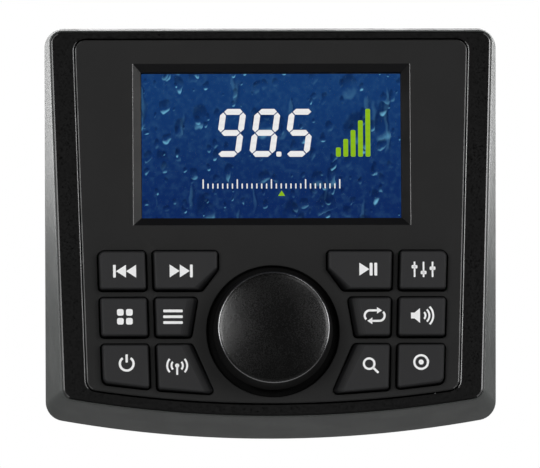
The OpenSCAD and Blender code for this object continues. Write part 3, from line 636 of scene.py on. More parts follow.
def build_drawn(tree: bpy.types.ShaderNodeTree) -> None:
    """Fine lines that drawing or rolling leaves in metal, along X.

    Args:
        tree: The empty group.
    """
    stain_share = 0.25
    graph, given, made = effect_ends(
        tree, {"Colour": (0.5, 0.5, 0.5), "Roughness": 0.35, "Contrast": 0.25},
        {"Colour": "NodeSocketColor", "Roughness": "NodeSocketFloat", "Height": "NodeSocketFloat"})
    lines = graph.noise(5000.0, detail=3.0, stretch=(0.03, 1.0, 1.0))
    stain = graph.noise(90.0, detail=4.0)
    sway = graph.math("MULTIPLY", graph.math("SUBTRACT", lines, 0.5), given.outputs["Contrast"])
    tint = graph.math("MULTIPLY", graph.math("SUBTRACT", stain, 0.5), stain_share)
    gain = graph.math("ADD", graph.math("ADD", sway, tint), 1.0)
    colour = graph.mix(1.0, given.outputs["Colour"], graph.grey(gain), "MULTIPLY")
    rough = graph.math("ADD", given.outputs["Roughness"], graph.math("SUBTRACT", tint, sway), True)
    graph.feed(made.inputs["Colour"], colour)
    graph.feed(made.inputs["Roughness"], rough)
    graph.feed(made.inputs["Height"], lines)


def build_handling(tree: bpy.types.ShaderNodeTree) -> None:
    """Soft patches where fingers have polished a surface.

    Args:
        tree: The empty group.
    """
    graph, given, made = effect_ends(tree, {"Roughness": 0.5, "Amount": 0.1},
                                     {"Roughness": "NodeSocketFloat"})
    patch = graph.span(graph.noise(110.0, detail=3.0), low=0.35, high=0.65, to_low=-1.0)
    shift = graph.math("MULTIPLY", patch, given.outputs["Amount"])
    graph.feed(made.inputs["Roughness"], graph.math("ADD", given.outputs["Roughness"], shift, True))


EFFECT_BUILDERS: dict[Effect, Callable[[bpy.types.ShaderNodeTree], None]] = {
    Effect.GRAIN: build_grain, Effect.WEAR: build_wear, Effect.FLAKE: build_flake,
    Effect.DRAWN: build_drawn, Effect.HANDLING: build_handling}


# Finishes

def srgb(red: float, green: float, blue: float) -> Colour:
    """Turns a screen colour into the linear colour that a shader takes.

    Args:
        red: Its red, 0 to 255.
        green: Its green, 0 to 255.
        blue: Its blue, 0 to 255.

    Returns:
        The linear colour, 0 to 1.
    """
    def linear(value: float) -> float:
        """One channel of the colour."""
        share = value / 255
        return share / 12.92 if share <= 0.04045 else ((share + 0.055) / 1.055) ** 2.4
    return linear(red), linear(green), linear(blue)


@dataclass(frozen=True)
class Finish:
    """A finish, which becomes one material."""

    name: str

    def material(self) -> bpy.types.Material:
        """Finds the finish's material, and makes it the first time.

        Returns:
            The material.
        """
        found = bpy.data.materials.get(self.name)
        if found is not None and found.get("finish") == self.name:
            return found
        made = bpy.data.materials.new(self.name)
        made["finish"] = self.name
        made.use_nodes = True
        self.paint(Graph(made.node_tree), made.node_tree.nodes["Principled BSDF"])
        return made

    def paint(self, graph: Graph, shader: bpy.types.Node) -> None:
        """Lays the finish's nodes round its shader.

        Args:
            graph: The material's nodes.
            shader: Its Principled BSDF.
        """
        raise NotImplementedError

    @staticmethod
    def relief(graph: Graph, shader: bpy.types.Node, height: bpy.types.NodeSocket, depth: float) -> None:
        """Lets a height, of a depth in millimetres, tilt the shader's normal."""
        bump = graph.node("ShaderNodeBump", {"Height": height, "Strength": RELIEF_STRENGTH,
                                             "Distance": depth * MM})
        graph.feed(shader.inputs["Normal"], bump.outputs[0])


@dataclass(frozen=True)
class Moulded(Finish):
    """Textured plastic, rubber or foam, worn paler along its edges."""

    colour: Colour
    roughness: float = 0.5
    specular: float = 0.3
    grain: float = 5000.0
    contrast: float = 0.25
    depth: float = 0.02
    worn: Colour = (0.2, 0.2, 0.2)
    wear: float = 0.0
    handling: float = 0.05

    def paint(self, graph: Graph, shader: bpy.types.Node) -> None:
        """Lays wear, then grain, then handling.

        Args:
            graph: The material's nodes.
            shader: Its Principled BSDF.
        """
        worn = graph.effect(Effect.WEAR, {
            "Colour": self.colour, "Worn Colour": self.worn, "Amount": self.wear})
        grain = graph.effect(Effect.GRAIN, {
            "Colour": worn["Colour"], "Scale": self.grain, "Contrast": self.contrast,
            "Roughness": self.roughness})
        touched = graph.effect(Effect.HANDLING, {
            "Roughness": grain["Roughness"], "Amount": self.handling})
        graph.feed(shader.inputs["Base Color"], grain["Colour"])
        graph.feed(shader.inputs["Roughness"], touched["Roughness"])
        shader.inputs["Specular IOR Level"].default_value = self.specular
        self.relief(graph, shader, grain["Height"], self.depth)


@dataclass(frozen=True)
class OneSided(Moulded):
    """Textured sheet that is clear from behind."""

    def paint(self, graph: Graph, shader: bpy.types.Node) -> None:
        """Lays the sheet's texture, with nothing on its back.

        Args:
            graph: The material's nodes.
            shader: Its Principled BSDF.
        """
        super().paint(graph, shader)
        behind = graph.node("ShaderNodeNewGeometry").outputs["Backfacing"]
        graph.feed(shader.inputs["Alpha"], graph.math("SUBTRACT", 1.0, behind))


@dataclass(frozen=True)
class Lacquer(Finish):
    """Satin lacquer with fine flakes in it, worn along its edges."""

    colour: Colour
    roughness: float = 0.4
    specular: float = 0.4
    flake: float = 5000.0
    sparkle: float = 0.5
    depth: float = 0.01
    worn: Colour = (0.3, 0.3, 0.3)
    wear: float = 0.0
    handling: float = 0.03

    def paint(self, graph: Graph, shader: bpy.types.Node) -> None:
        """Lays wear, then flakes, with handled roughness.

        Args:
            graph: The material's nodes.
            shader: Its Principled BSDF.
        """
        worn = graph.effect(Effect.WEAR, {
            "Colour": self.colour, "Worn Colour": self.worn, "Amount": self.wear})
        flake = graph.effect(Effect.FLAKE, {
            "Colour": worn["Colour"], "Scale": self.flake, "Sparkle": self.sparkle})
        touched = graph.effect(Effect.HANDLING, {"Roughness": self.roughness, "Amount": self.handling})
        graph.feed(shader.inputs["Base Color"], flake["Colour"])
        graph.feed(shader.inputs["Roughness"], touched["Roughness"])
        shader.inputs["Specular IOR Level"].default_value = self.specular
        self.relief(graph, shader, flake["Height"], self.depth)


@dataclass(frozen=True)
class Metal(Finish):
    """Drawn, rolled or plated metal."""

    colour: Colour
    roughness: float = 0.35
    contrast: float = 0.25
    depth: float = 0.006
    metallic: float = 1.0

    def paint(self, graph: Graph, shader: bpy.types.Node) -> None:
        """Lays drawn lines in bare metal.

        Args:
            graph: The material's nodes.
            shader: Its Principled BSDF.
        """
        drawn = graph.effect(Effect.DRAWN, {
            "Colour": self.colour, "Roughness": self.roughness, "Contrast": self.contrast})
        graph.feed(shader.inputs["Base Color"], drawn["Colour"])
        graph.feed(shader.inputs["Roughness"], drawn["Roughness"])
        shader.inputs["Metallic"].default_value = self.metallic
        self.relief(graph, shader, drawn["Height"], self.depth)


@dataclass(frozen=True)
class ClearLens(Finish):
    """Thin clear window with a faint film of handling on it."""

    tint: Colour
    cover: float = 0.08
    roughness: float = 0.08
    handling: float = 0.02

    def paint(self, graph: Graph, shader: bpy.types.Node) -> None:
        """Makes a see-through sheet that still takes a gloss.

        Args:
            graph: The material's nodes.
            shader: Its Principled BSDF.
        """
        touched = graph.effect(Effect.HANDLING, {"Roughness": self.roughness, "Amount": self.handling})
        graph.feed(shader.inputs["Roughness"], touched["Roughness"])
        graph.feed(shader.inputs["Base Color"], self.tint)
        shader.inputs["Alpha"].default_value = self.cover


@dataclass(frozen=True)
class Lit(Finish):
    """Something that the display lights up by itself."""

    glow: float = 1.0
    roughness: float = 0.5

    def light(self, graph: Graph, shader: bpy.types.Node, colour: Source) -> None:
        """Lets a colour glow, on black that takes no gloss.

        Args:
            graph: The material's nodes.
            shader: Its Principled BSDF.
            colour: The colour of the light.
        """
        graph.feed(shader.inputs["Emission Color"], colour)
        graph.feed(shader.inputs["Base Color"], BLACK)
        shader.inputs["Emission Strength"].default_value = self.glow
        shader.inputs["Roughness"].default_value = self.roughness
        shader.inputs["Specular IOR Level"].default_value = 0.0


@dataclass(frozen=True)
class LitMark(Lit):
    """A lit mark, with the faint grid of its dots."""

    colour: Colour = (1.0, 1.0, 1.0)
    dots: float = 4500.0
    dot_shade: float = 0.1

    def paint(self, graph: Graph, shader: bpy.types.Node) -> None:
        """Lights the mark in one colour, darker between the dots.

        Args:
            graph: The material's nodes.
            shader: Its Principled BSDF.
        """
        dots = graph.node("ShaderNodeTexVoronoi", {
            "Vector": graph.place(), "Scale": self.dots, "Randomness": 0.0})
        share = graph.span(dots.outputs["Distance"], low=0.3, high=0.7, to_high=self.dot_shade)
        self.light(graph, shader, graph.mix(share, self.colour, BLACK))


@dataclass(frozen=True)
class LitPanel(Lit):
    """Lit display field: deep blue, paler at the top, with drops of water on it."""

    roughness: float = 0.4
    upper: Colour = srgb(20, 60, 116)
    lower: Colour = srgb(13, 42, 98)
    glint: Colour = srgb(122, 200, 238)
    shade: Colour = (0.001, 0.008, 0.045)
    low_z: float = 4.0
    high_z: float = 42.0
    mist_scale: float = 700.0
    mist: float = 0.05
    drop_scales: tuple[float, ...] = (130.0, 230.0, 400.0)
    drop_squash: float = 0.62
    drop_light: Point = (0.25, -0.95)
    sway_scale: float = 300.0
    sway: float = 0.0028
    run_scale: float = 330.0
    run_squash: float = 0.22
    run_from: float = 0.66
    run_soft: float = 0.06
    run_shade: float = 0.3
    run_light: float = 0.1
    run_shift: float = 0.0005

    def wet(self, graph: Graph, under: bpy.types.NodeSocket, shaded: bpy.types.NodeSocket,
            lit: bpy.types.NodeSocket) -> bpy.types.NodeSocket:
        """Darkens a colour by one mask, then lights it by another."""
        return graph.mix(lit, graph.mix(shaded, under, self.shade), self.glint)

    def drops(self, graph: Graph, flat: bpy.types.NodeSocket, under: bpy.types.NodeSocket,
              scale: float) -> bpy.types.NodeSocket:
        """Lays one size of drops over a colour.

        Args:
            graph: The material's nodes.
            flat: Places on the display, with x across and y up.
            under: The colour under the drops.
            scale: Drops to the metre.

        Returns:
            The colour with its drops, each dark above and bright along its lower edge.
        """
        cells = graph.cells(flat, scale, voronoi_dimensions="2D")
        tone = graph.node("ShaderNodeSeparateColor", {0: cells["Color"]}).outputs
        radius = graph.span(tone[0], low=0.4, high=1.0, to_low=0.02, to_high=0.4)
        inside = graph.span(graph.math("DIVIDE", cells["Distance"], radius), low=1.0, high=0.72)
        offset = graph.vector("SUBTRACT", flat, cells["Position"])[0]
        light = (self.drop_light[0] * scale, self.drop_light[1] * scale, 0.0)
        tilt = graph.math("DIVIDE", graph.vector("DOT_PRODUCT", offset, light)["Value"], radius)
        clear = graph.span(tone[1], low=0.1, high=1.0, to_low=0.08, to_high=0.95)
        strength = graph.math("MULTIPLY", inside, clear)
        lit = graph.math("MULTIPLY", strength, graph.span(tilt, low=0.25, high=0.85))
        shaded = graph.math("MULTIPLY", inside, graph.span(tilt, low=0.35, high=-0.5, to_high=0.5))
        return self.wet(graph, under, shaded, lit)

    def runs(self, graph: Graph, flat: bpy.types.NodeSocket,
             under: bpy.types.NodeSocket) -> bpy.types.NodeSocket:
        """Lays the faint tracks of running drops over a colour.

        Args:
            graph: The material's nodes.
            flat: Places on the display, with x across and y up.
            under: The colour under the tracks.

        Returns:
            The colour with tracks, each bright on one side and dark on the other.
        """
        masks = []
        for shift, share in ((0.0, self.run_shade), (self.run_shift, self.run_light)):
            spot = graph.node("ShaderNodeMapping", {
                "Vector": flat, "Location": (shift, 0.0, 0.0), "Scale": (1.0, self.run_squash, 1.0)})
            tracks = graph.node("ShaderNodeTexNoise", {
                "Vector": spot.outputs[0], "Scale": self.run_scale, "Detail": 1.0})
            masks.append(graph.span(tracks.outputs[0], self.run_from, self.run_from + self.run_soft,
                                    to_high=share))
        return self.wet(graph, under, masks[0], masks[1])

    def paint(self, graph: Graph, shader: bpy.types.Node) -> None:
        """Lights the field, misted and wet.

        Args:
            graph: The material's nodes.
            shader: Its Principled BSDF.
        """
        spot = graph.node("ShaderNodeSeparateXYZ", {0: graph.node("ShaderNodeTexCoord").outputs["Object"]})
        fall = graph.math("MULTIPLY", spot.outputs["Z"], self.drop_squash)
        even = graph.node("ShaderNodeCombineXYZ", {0: spot.outputs["X"], 1: fall}).outputs[0]
        sway = graph.node("ShaderNodeTexNoise", {"Vector": even, "Scale": self.sway_scale, "Detail": 2.0})
        bend = graph.vector("MULTIPLY", sway.outputs["Color"], (self.sway, self.sway, 0.0))[0]
        flat = graph.vector("ADD", even, bend)[0]
        share = graph.span(spot.outputs["Z"], self.low_z * MM, self.high_z * MM)
        mist = graph.span(graph.noise(self.mist_scale, detail=4.0), low=0.4, high=0.8, to_high=self.mist)
        colour = graph.mix(mist, graph.mix(share, self.lower, self.upper), self.glint)
        colour = self.runs(graph, flat, colour)
        for scale in self.drop_scales:
            colour = self.drops(graph, flat, colour, scale)
        self.light(graph, shader, colour)


BEZEL_GREY = Lacquer("bezel_grey", srgb(60, 62, 61), roughness=0.36, specular=0.2, flake=7000.0,
                     sparkle=0.2, worn=srgb(100, 102, 102), wear=0.1)
FRAME_BLACK = Moulded("frame_black", srgb(15, 15, 15), roughness=0.55, specular=0.08, grain=1800.0,
                      contrast=3.4, depth=0.03)
# Painted highlight: a paler, glossy black for the chamfers that face left or right, standing in for the glint
# of the side lamps on those edges.
EDGE_HIGHLIGHT_BLACK = Moulded("rubbed_black", srgb(46, 46, 46), roughness=0.3, specular=1.0, grain=4000.0,
                       contrast=0.5, depth=0.01)
BEVEL_BLACK = Moulded("bevel_black", srgb(13, 13, 13), roughness=0.36, specular=0.32, grain=5000.0,
                      contrast=0.2, depth=0.006)
PLATE_CHARCOAL = Moulded("plate_charcoal", srgb(36, 36, 36), roughness=0.65, specular=0.1, grain=9000.0,
                         contrast=0.2, depth=0.008, worn=srgb(80, 80, 80), wear=0.12)
BUTTON_BLACK = Moulded("button_black", srgb(42, 42, 43), roughness=0.55, specular=0.15, grain=9000.0,
                       contrast=0.2, depth=0.008, worn=srgb(85, 85, 86), wear=0.3)
# Painted shade: a darker, duller black for the lower sides of the buttons and for the top and bottom walls of
# the display bevel.
SHADE_BLACK = Moulded("dull_black", srgb(16, 16, 17), roughness=0.5, specular=0.1, grain=9000.0,
                     contrast=0.2, depth=0.008)
# Painted shade in three steps, from the buttons' dark sides up to their tops, standing in for the shading of
# the rolled edge and the facet.
BUTTON_SHADE_STEPS = tuple(
    Moulded(f"button_fade_{shade}", srgb(shade, shade, shade + 1), roughness=0.52, specular=0.12,
            grain=9000.0, contrast=0.2, depth=0.008) for shade in (20, 27, 34))
# Painted shade: near-black for the knob's well, the recess under the knob where shade falls.
WELL_SHADE_BLACK = Moulded("well_black", srgb(7, 7, 7), roughness=0.6, specular=0.05, grain=7000.0,
                     contrast=0.3, depth=0.008)
KNOB_BLACK = Moulded("knob_black", srgb(20, 20, 20), roughness=0.45, specular=0.2, grain=8000.0,
                     contrast=0.2, depth=0.008)
KNOB_EDGE = Metal("knob_edge", srgb(118, 118, 119), roughness=0.22, depth=0.003)
KNOB_SATIN = Moulded("knob_satin", srgb(6, 6, 6), roughness=0.25, specular=0.36, grain=3600.0,
                     contrast=1.4, depth=0.045, handling=0.02)
LEGEND_WHITE = Moulded("legend_white", srgb(238, 238, 238), roughness=0.5, specular=0.3, grain=9000.0,
                       contrast=0.05, depth=0.004)
WINDOW_CLEAR = ClearLens("window_clear", (0.01, 0.012, 0.016))
DISPLAY_BLUE = LitPanel("display_blue")
MARK_WHITE = LitMark("mark_white")
MARK_GREEN = LitMark("mark_green", colour=srgb(150, 200, 30))
SEAL_RUBBER = Moulded("seal_rubber", srgb(26, 26, 27), roughness=0.75, specular=0.2, grain=3000.0,
                      contrast=0.3)
GASKET_FOAM = Moulded("gasket_foam", srgb(30, 30, 31), roughness=0.9, specular=0.1, grain=1800.0,
                      contrast=0.8, depth=0.12)
BRIGHT_STEEL = Metal("bright_steel", srgb(196, 197, 198), roughness=0.3)
CHASSIS_BLACK = Moulded("chassis_black", srgb(42, 43, 44), roughness=0.55, specular=0.35, grain=2600.0,
                        contrast=0.45, depth=0.06, worn=srgb(110, 110, 110), wear=0.1)
SINK_ALUMINIUM = Metal("sink_aluminium", srgb(150, 152, 154), roughness=0.45, contrast=0.35,
                       depth=0.012, metallic=0.4)
BOARD_GREEN = Moulded("board_green", srgb(24, 88, 52), roughness=0.35, specular=0.5, grain=1200.0,
                      contrast=0.3)
BLACK_PLASTIC = Moulded("black_plastic", srgb(30, 30, 31), roughness=0.45, specular=0.4, grain=6000.0)
WHITE_PLASTIC = Moulded("white_plastic", srgb(222, 218, 206), roughness=0.45, specular=0.4,
                        grain=6000.0, contrast=0.08)
RIBBON_AMBER = Moulded("ribbon_amber", srgb(196, 128, 50), roughness=0.25, specular=0.5, grain=800.0,
                       contrast=0.2)
RIBBON_GREY = Moulded("ribbon_grey", srgb(178, 178, 180), roughness=0.4, specular=0.4, grain=900.0,
                      contrast=0.2)
CAPACITOR_SLEEVE = Moulded("capacitor_sleeve", srgb(26, 29, 50), roughness=0.25, specular=0.5,
                           grain=700.0)
PAD_GREY = Moulded("pad_grey", srgb(160, 170, 180), roughness=0.8, specular=0.2, grain=2500.0)
CONTACT_BRASS = Metal("contact_brass", srgb(214, 176, 96), roughness=0.28)
JACK_RED = Moulded("jack_red", srgb(176, 24, 26), roughness=0.4, specular=0.4, grain=6000.0,
                   contrast=0.1)


# Shapes of the face, from the CAD model's named sizes

PLATE = PanelShape(half_w=49.0, taper=1.75, top=50.7247, low=-43.9253, arc_r=308.0, corner_r=2.7)
FRAME = PanelShape(half_w=55.2, taper=1.75, top=52.3747, low=-47.0253, arc_r=308.0, corner_r=2.8)
BASE = PanelShape(half_w=57.95, taper=0.0, top=52.759, low=-52.759, arc_r=308.0, corner_r=5.0)
PLATE_EDGE = PLATE.trimmed(side=0.24, top=0.5, low=0.3)
FRAME_EDGE = FRAME.trimmed(side=0.36, top=0.1, low=0.3)
KNOB_V = -25.1253


# Sub-assemblies

@dataclass
class BezelShell:
    """Grey drafted shell between the dash and the face frame."""

    face: Face
    gasket: float = 1.5
    wall: float = 2.4
    seam: float = 0.2
    rim: float = 0.28
    rim_drop: float = 0.35
    rim_round: float = 0.35
    lip_drop: float = 0.05
    foot_round: float = 0.35
    shelf_front: float = -2.4
    shelf_back: float = -4.0
    shelf_in: float = 1.2
    wall_steps: tuple[float, ...] = (0.05, 0.3, 0.55, 0.8, 0.93)

    def build(self) -> None:
        """Skins the shell: foot, drafted wall, rolled rim, seam, shelf and inside."""
        edge = self.seam + self.rim
        foot = dash_ring(BASE.outline(), -self.gasket)
        rim = self.face.ring(FRAME_EDGE.grown(edge).outline(), -self.rim_drop)
        loops = [dash_ring(BASE.grown(-self.foot_round).outline(), -self.gasket)]
        loops += [[a.lerp(b, t) for a, b in zip(foot, rim)] for t in self.wall_steps]
        loops += [self.face.ring(FRAME_EDGE.grown(edge - inset).outline(), -self.rim_drop - drop)
                  for inset, drop in quarter_round(self.rim_round)]
        lip, inner = FRAME_EDGE.grown(self.seam).outline(), FRAME_EDGE.grown(-self.shelf_in).outline()
        loops += [self.face.ring(lip, -self.rim_drop - self.lip_drop), self.face.ring(lip, self.shelf_front),
                  self.face.ring(inner, self.shelf_front), self.face.ring(inner, self.shelf_back),
                  self.face.ring(FRAME_EDGE.grown(edge - self.wall).outline(), self.shelf_back),
                  dash_ring(BASE.grown(-self.wall).outline(), -self.gasket)]
        sketch = MeshSketch()
        sketch.loft(loops, closed=True)
        settle(sketch.finish("bezel_shell"), HOUSING, [BEZEL_GREY], ["outer_bezel"])


@dataclass
class FrameRing:
    """Black textured frame round the plate."""

    face: Face
    thickness: float = 2.4
    gap: float = 0.42
    outer_edge: float = 0.34
    inner_edge: float = 0.26
    inner_drop: float = 0.115
    side_facing_x: float = 0.3

    def build(self) -> None:
        """Skins the ring: outer side, chamfered edges, flat front and inner side. The chamfers that face left
        or right carry a painted highlight.
        """
        outer, inner = FRAME_EDGE.outline(), PLATE_EDGE.grown(self.gap)
        loops = [self.face.ring(outer, -self.thickness), self.face.ring(outer, -self.outer_edge),
                 self.face.ring(FRAME_EDGE.grown(-self.outer_edge).outline(), 0.0),
                 self.face.ring(inner.grown(self.inner_edge).outline(), 0.0),
                 self.face.ring(inner.outline(), -self.inner_drop),
                 self.face.ring(inner.outline(), -self.thickness)]
        sketch = MeshSketch()
        # Both chamfers take the paler glossy black, a painted highlight; those not facing left or right go
        # back to the frame's black.
        usual, highlit = range(2)
        sketch.loft(loops, closed=True, bands={1: highlit, 3: highlit})
        sketch.recolour(highlit, usual, self.side_facing_x)
        settle(sketch.finish("frame_ring"), HOUSING, [FRAME_BLACK, EDGE_HIGHLIGHT_BLACK],
               ["face_frame"])


class Side(Enum):
    """The two groups of buttons, with the sign of their u."""

    LEFT = -1
    RIGHT = 1


@dataclass(frozen=True)
class KeyShape:
    """Sizes that the openings in the plate and the buttons share."""

    top: float = -4.47526
    height: float = 10.1
    gap: float = 1.95
    width: float = 12.0
    plate_side: float = 4.25
    plate_low: float = 2.25
    inner: float = 14.1
    last_inner: float = 15.0
    corner: float = 0.8
    least: float = 0.25
    ring_r: float = 21.1
    bend_room: float = 1.5

    def column_out(self, v: float, col: int) -> float:
        """Outer edge of a column at height v."""
        return PLATE.half_width(v) - self.plate_side - col * (self.width + self.gap)

    def row_low(self, row: int, u: float) -> float:
        """Finds the lower edge of a row.

        Args:
            row: The row, from the top.
            u: Where along it.

        Returns:
            The height of the edge.
        """
        if row < 2:
            return self.top - row * (self.height + self.gap) - self.height
        return PLATE.lower_edge(u) + self.plate_low

    def ring_edge(self, v: float) -> float:
        """Where the bare ring round the knob meets height v."""
        return math.sqrt(max(self.ring_r ** 2 - (v - KNOB_V) ** 2, 0.0))

    def corners(self, side: Side, row: int, col: int, grow: float, facet: float = 0.0) -> list[Corner]:
        """Corners of one button.

        Args:
            side: Its group.
            row: Its row, from the top.
            col: 0 for the outer column, 1 for the one next to the knob.
            grow: How far the outline grows outward.
            facet: How far the edges that face the knob are pulled in.

        Returns:
            The corners, each with its radius.
        """
        top = self.top - row * (self.height + self.gap)
        r, r_out = max(self.corner + grow, self.least), max(2 * self.corner + grow, self.least)
        low_out, mid = self.row_low(row, self.column_out(top - self.height, col)), self.row_low(row, 0.0)
        if col == 0:
            in_high, in_low = self.column_out(top, 0) - self.width, self.column_out(low_out, 0) - self.width
        else:
            in_high = self.inner if row == 0 else self.ring_edge(top)
            in_low = self.last_inner if row == 2 else max(self.ring_edge(mid), self.inner)
        low_in, pull = self.row_low(row, in_low), (facet if col == 1 else 0.0) - grow
        points = [(in_high + (-grow if row == 0 else pull), top + grow, r)]
        if row == 0 and col == 1:
            rise = math.sqrt(max(self.ring_r ** 2 - self.inner ** 2, 0.0))
            bend = min(top - self.bend_room, max(low_in + self.bend_room, KNOB_V + rise))
            points.append((in_high - grow, bend + facet / 2 + grow / 3, r))
        low_r, top_r = (r_out if (row, col) == (end, 0) else r for end in (2, 0))
        points += [(in_low + pull, low_in - grow, r),
                   (self.column_out(low_out, col) + grow, low_out - grow, low_r),
                   (self.column_out(top, col) + grow, top + grow, top_r)]
        return [(side.value * u, v, radius) for u, v, radius in points]

    def outline(self, side: Side, row: int, col: int, grow: float, facet: float = 0.0) -> list[Point]:
        """Outline of one button; see corners."""
        return rounded(self.corners(side, row, col, grow, facet))


@dataclass
class FacePlate:
    """Charcoal plate with the display bevel, the button openings and the knob's well."""

    face: Face
    keys: KeyShape
    front: float = 0.4
    back: float = -2.4
    edge: float = 0.26
    screen_v: float = 23.1747
    bevel_half: Point = (35.5, 20.95)
    open_half: Point = (33.4, 18.85)
    bevel_floor: float = -1.1
    bevel_lead: float = 0.12
    bevel_soft: float = 0.04
    bevel_roll: float = 0.1
    bevel_foot: float = 0.06
    screen_round: float = 0.15
    lip: float = 0.4
    window_lap: float = 1.3
    key_fit: float = 0.35
    key_round: float = 0.2
    well_r: float = 16.9
    well_floor: float = -1.0
    well_round: float = 0.4
    well_corner: float = 0.25
    well_points: int = 128
    bushing_r: float = 4.3
    side_facing_x: float = 0.3

    def bevel_loops(self) -> list[Loop]:
        """Draws the display opening.

        Returns:
            Its rings, from the plate's front back.
        """
        (wide, high), (open_w, open_h) = self.bevel_half, self.open_half
        lap_w, lap_h = open_w + self.window_lap, open_h + self.window_lap
        lip_back = self.bevel_floor - self.lip
        steps = [(wide + self.bevel_lead, high + self.bevel_lead, self.front),
                 (wide, high, self.front - self.bevel_soft),
                 (wide - self.bevel_roll, high - self.bevel_roll, self.front - self.bevel_lead),
                 (open_w + self.bevel_foot, open_h + self.bevel_foot, self.bevel_floor + self.bevel_soft),
                 (open_w, open_h, self.bevel_floor - self.bevel_soft), (open_w, open_h, lip_back),
                 (lap_w, lap_h, lip_back), (lap_w, lap_h, self.back)]
        return [self.face.ring(rectangle(w, h, self.screen_round, (0.0, self.screen_v), 2), depth)
                for w, h, depth in steps]

    def key_loops(self, side: Side, row: int, col: int) -> list[Loop]:
        """Draws one button opening.

        Args:
            side: The button's group.
            row: Its row.
            col: Its column.

        Returns:
            The opening's rings, from the plate's front back.
        """
        roll = reversed(quarter_round(self.key_round, 3))
        steps = [(self.key_fit + inset, self.front - drop) for inset, drop in roll]
        steps.append((self.key_fit, self.back))
        return [self.face.ring(self.keys.outline(side, row, col, grow), depth) for grow, depth in steps]

    def well_loops(self) -> list[Loop]:
        """Draws the knob's well.

        Returns:
            Its rings, from the plate's front back.
        """
        roll = reversed(quarter_round(self.well_round))
        steps = [(self.well_r + inset, self.front - drop) for inset, drop in roll]
        steps += [(self.well_r, self.well_floor + self.well_corner),
                  (self.well_r - self.well_corner, self.well_floor),
                  (self.bushing_r, self.well_floor), (self.bushing_r, self.back)]
        return [self.face.ring(circle(r, (0.0, KNOB_V), self.well_points), depth) for r, depth in steps]

    def build(self) -> None:
        """Skins the plate's sides and openings, and closes its front and back between them. Its left and
        right edges carry a painted highlight, and the top and bottom walls of the display bevel a painted
        shade.
        """
        sketch = MeshSketch()
        outer = PLATE_EDGE.outline()
        sides = [self.face.ring(PLATE_EDGE.grown(-self.edge).outline(), self.front),
                 self.face.ring(outer, self.front - self.edge), self.face.ring(outer, self.back)]
        usual, highlit, bevel, well, shade_slot = range(5)
        openings = [sketch.loft(sides, bands={0: highlit}),
                    sketch.loft(self.bevel_loops(), bands=dict(enumerate([highlit] * 2 + [bevel] * 3))),
                    # The lower roll, wall and floor of the well take the near-black, a painted shade under
                    # the knob.
                    sketch.loft(self.well_loops(), bands={strip: well for strip in range(2, 7)})]
        # Painted highlight: the plate's outer edge and the lead-in of the display bevel keep the paler glossy
        # black only where they face left or right.
        sketch.recolour(highlit, usual, self.side_facing_x)
        # Painted shade: the bevel's walls that don't face left or right, its top and bottom, take the darker,
        # duller black.
        sketch.recolour(bevel, shade_slot, self.side_facing_x)
        openings += [sketch.loft(self.key_loops(side, row, col))
                     for side in Side for row in range(3) for col in range(2)]
        sketch.fill(*(rings[0] for rings in openings))
        sketch.fill(*(rings[-1] for rings in openings))
        settle(sketch.finish("plate"), HOUSING,
               [PLATE_CHARCOAL, EDGE_HIGHLIGHT_BLACK, BEVEL_BLACK, WELL_SHADE_BLACK, SHADE_BLACK], ["face_plate"])


# Signs on the buttons, in millimetres round their own middle

def bar(x: float, y: float, width: float, height: float) -> list[Point]:
    """A bar with softened corners, round its middle."""
    return rectangle(width / 2, height / 2, min(width, height) / 4, (x, y), 2)


def arrow(x: float, y: float, length: float, height: float) -> list[Point]:
    """A solid triangle that points along x, or back where its length is negative."""
    return [(x, y + height / 2), (x, y - height / 2), (x + length, y)]


RING_SLIT = 0.3
ARC_DEGREES = 8
ARC_LEAST = 6


def band(radius: float, width: float, start: float, end: float, centre: Point = (0.0, 0.0)) -> list[Point]:
    """A piece of a ring, between two angles in degrees.

    Args:
        radius: Radius of the ring's middle line.
        width: Width of the ring.
        start: First angle.
        end: Last angle.
        centre: Middle of the ring.

    Returns:
        The outline of the piece.
    """
    steps = max(ARC_LEAST, int(abs(end - start) / ARC_DEGREES))
    angles = [math.radians(start + (end - start) * i / steps) for i in range(steps + 1)]
    sides = [(radius + width / 2, angles), (radius - width / 2, angles[::-1])]
    return [(centre[0] + r * math.cos(a), centre[1] + r * math.sin(a)) for r, turns in sides for a in turns]


def ring_of(radius: float, width: float, centre: Point = (0.0, 0.0)) -> list[Point]:
    """A whole ring, printed with a slit too fine to see."""
    return band(radius, width, RING_SLIT, 360.0 - RING_SLIT, centre)


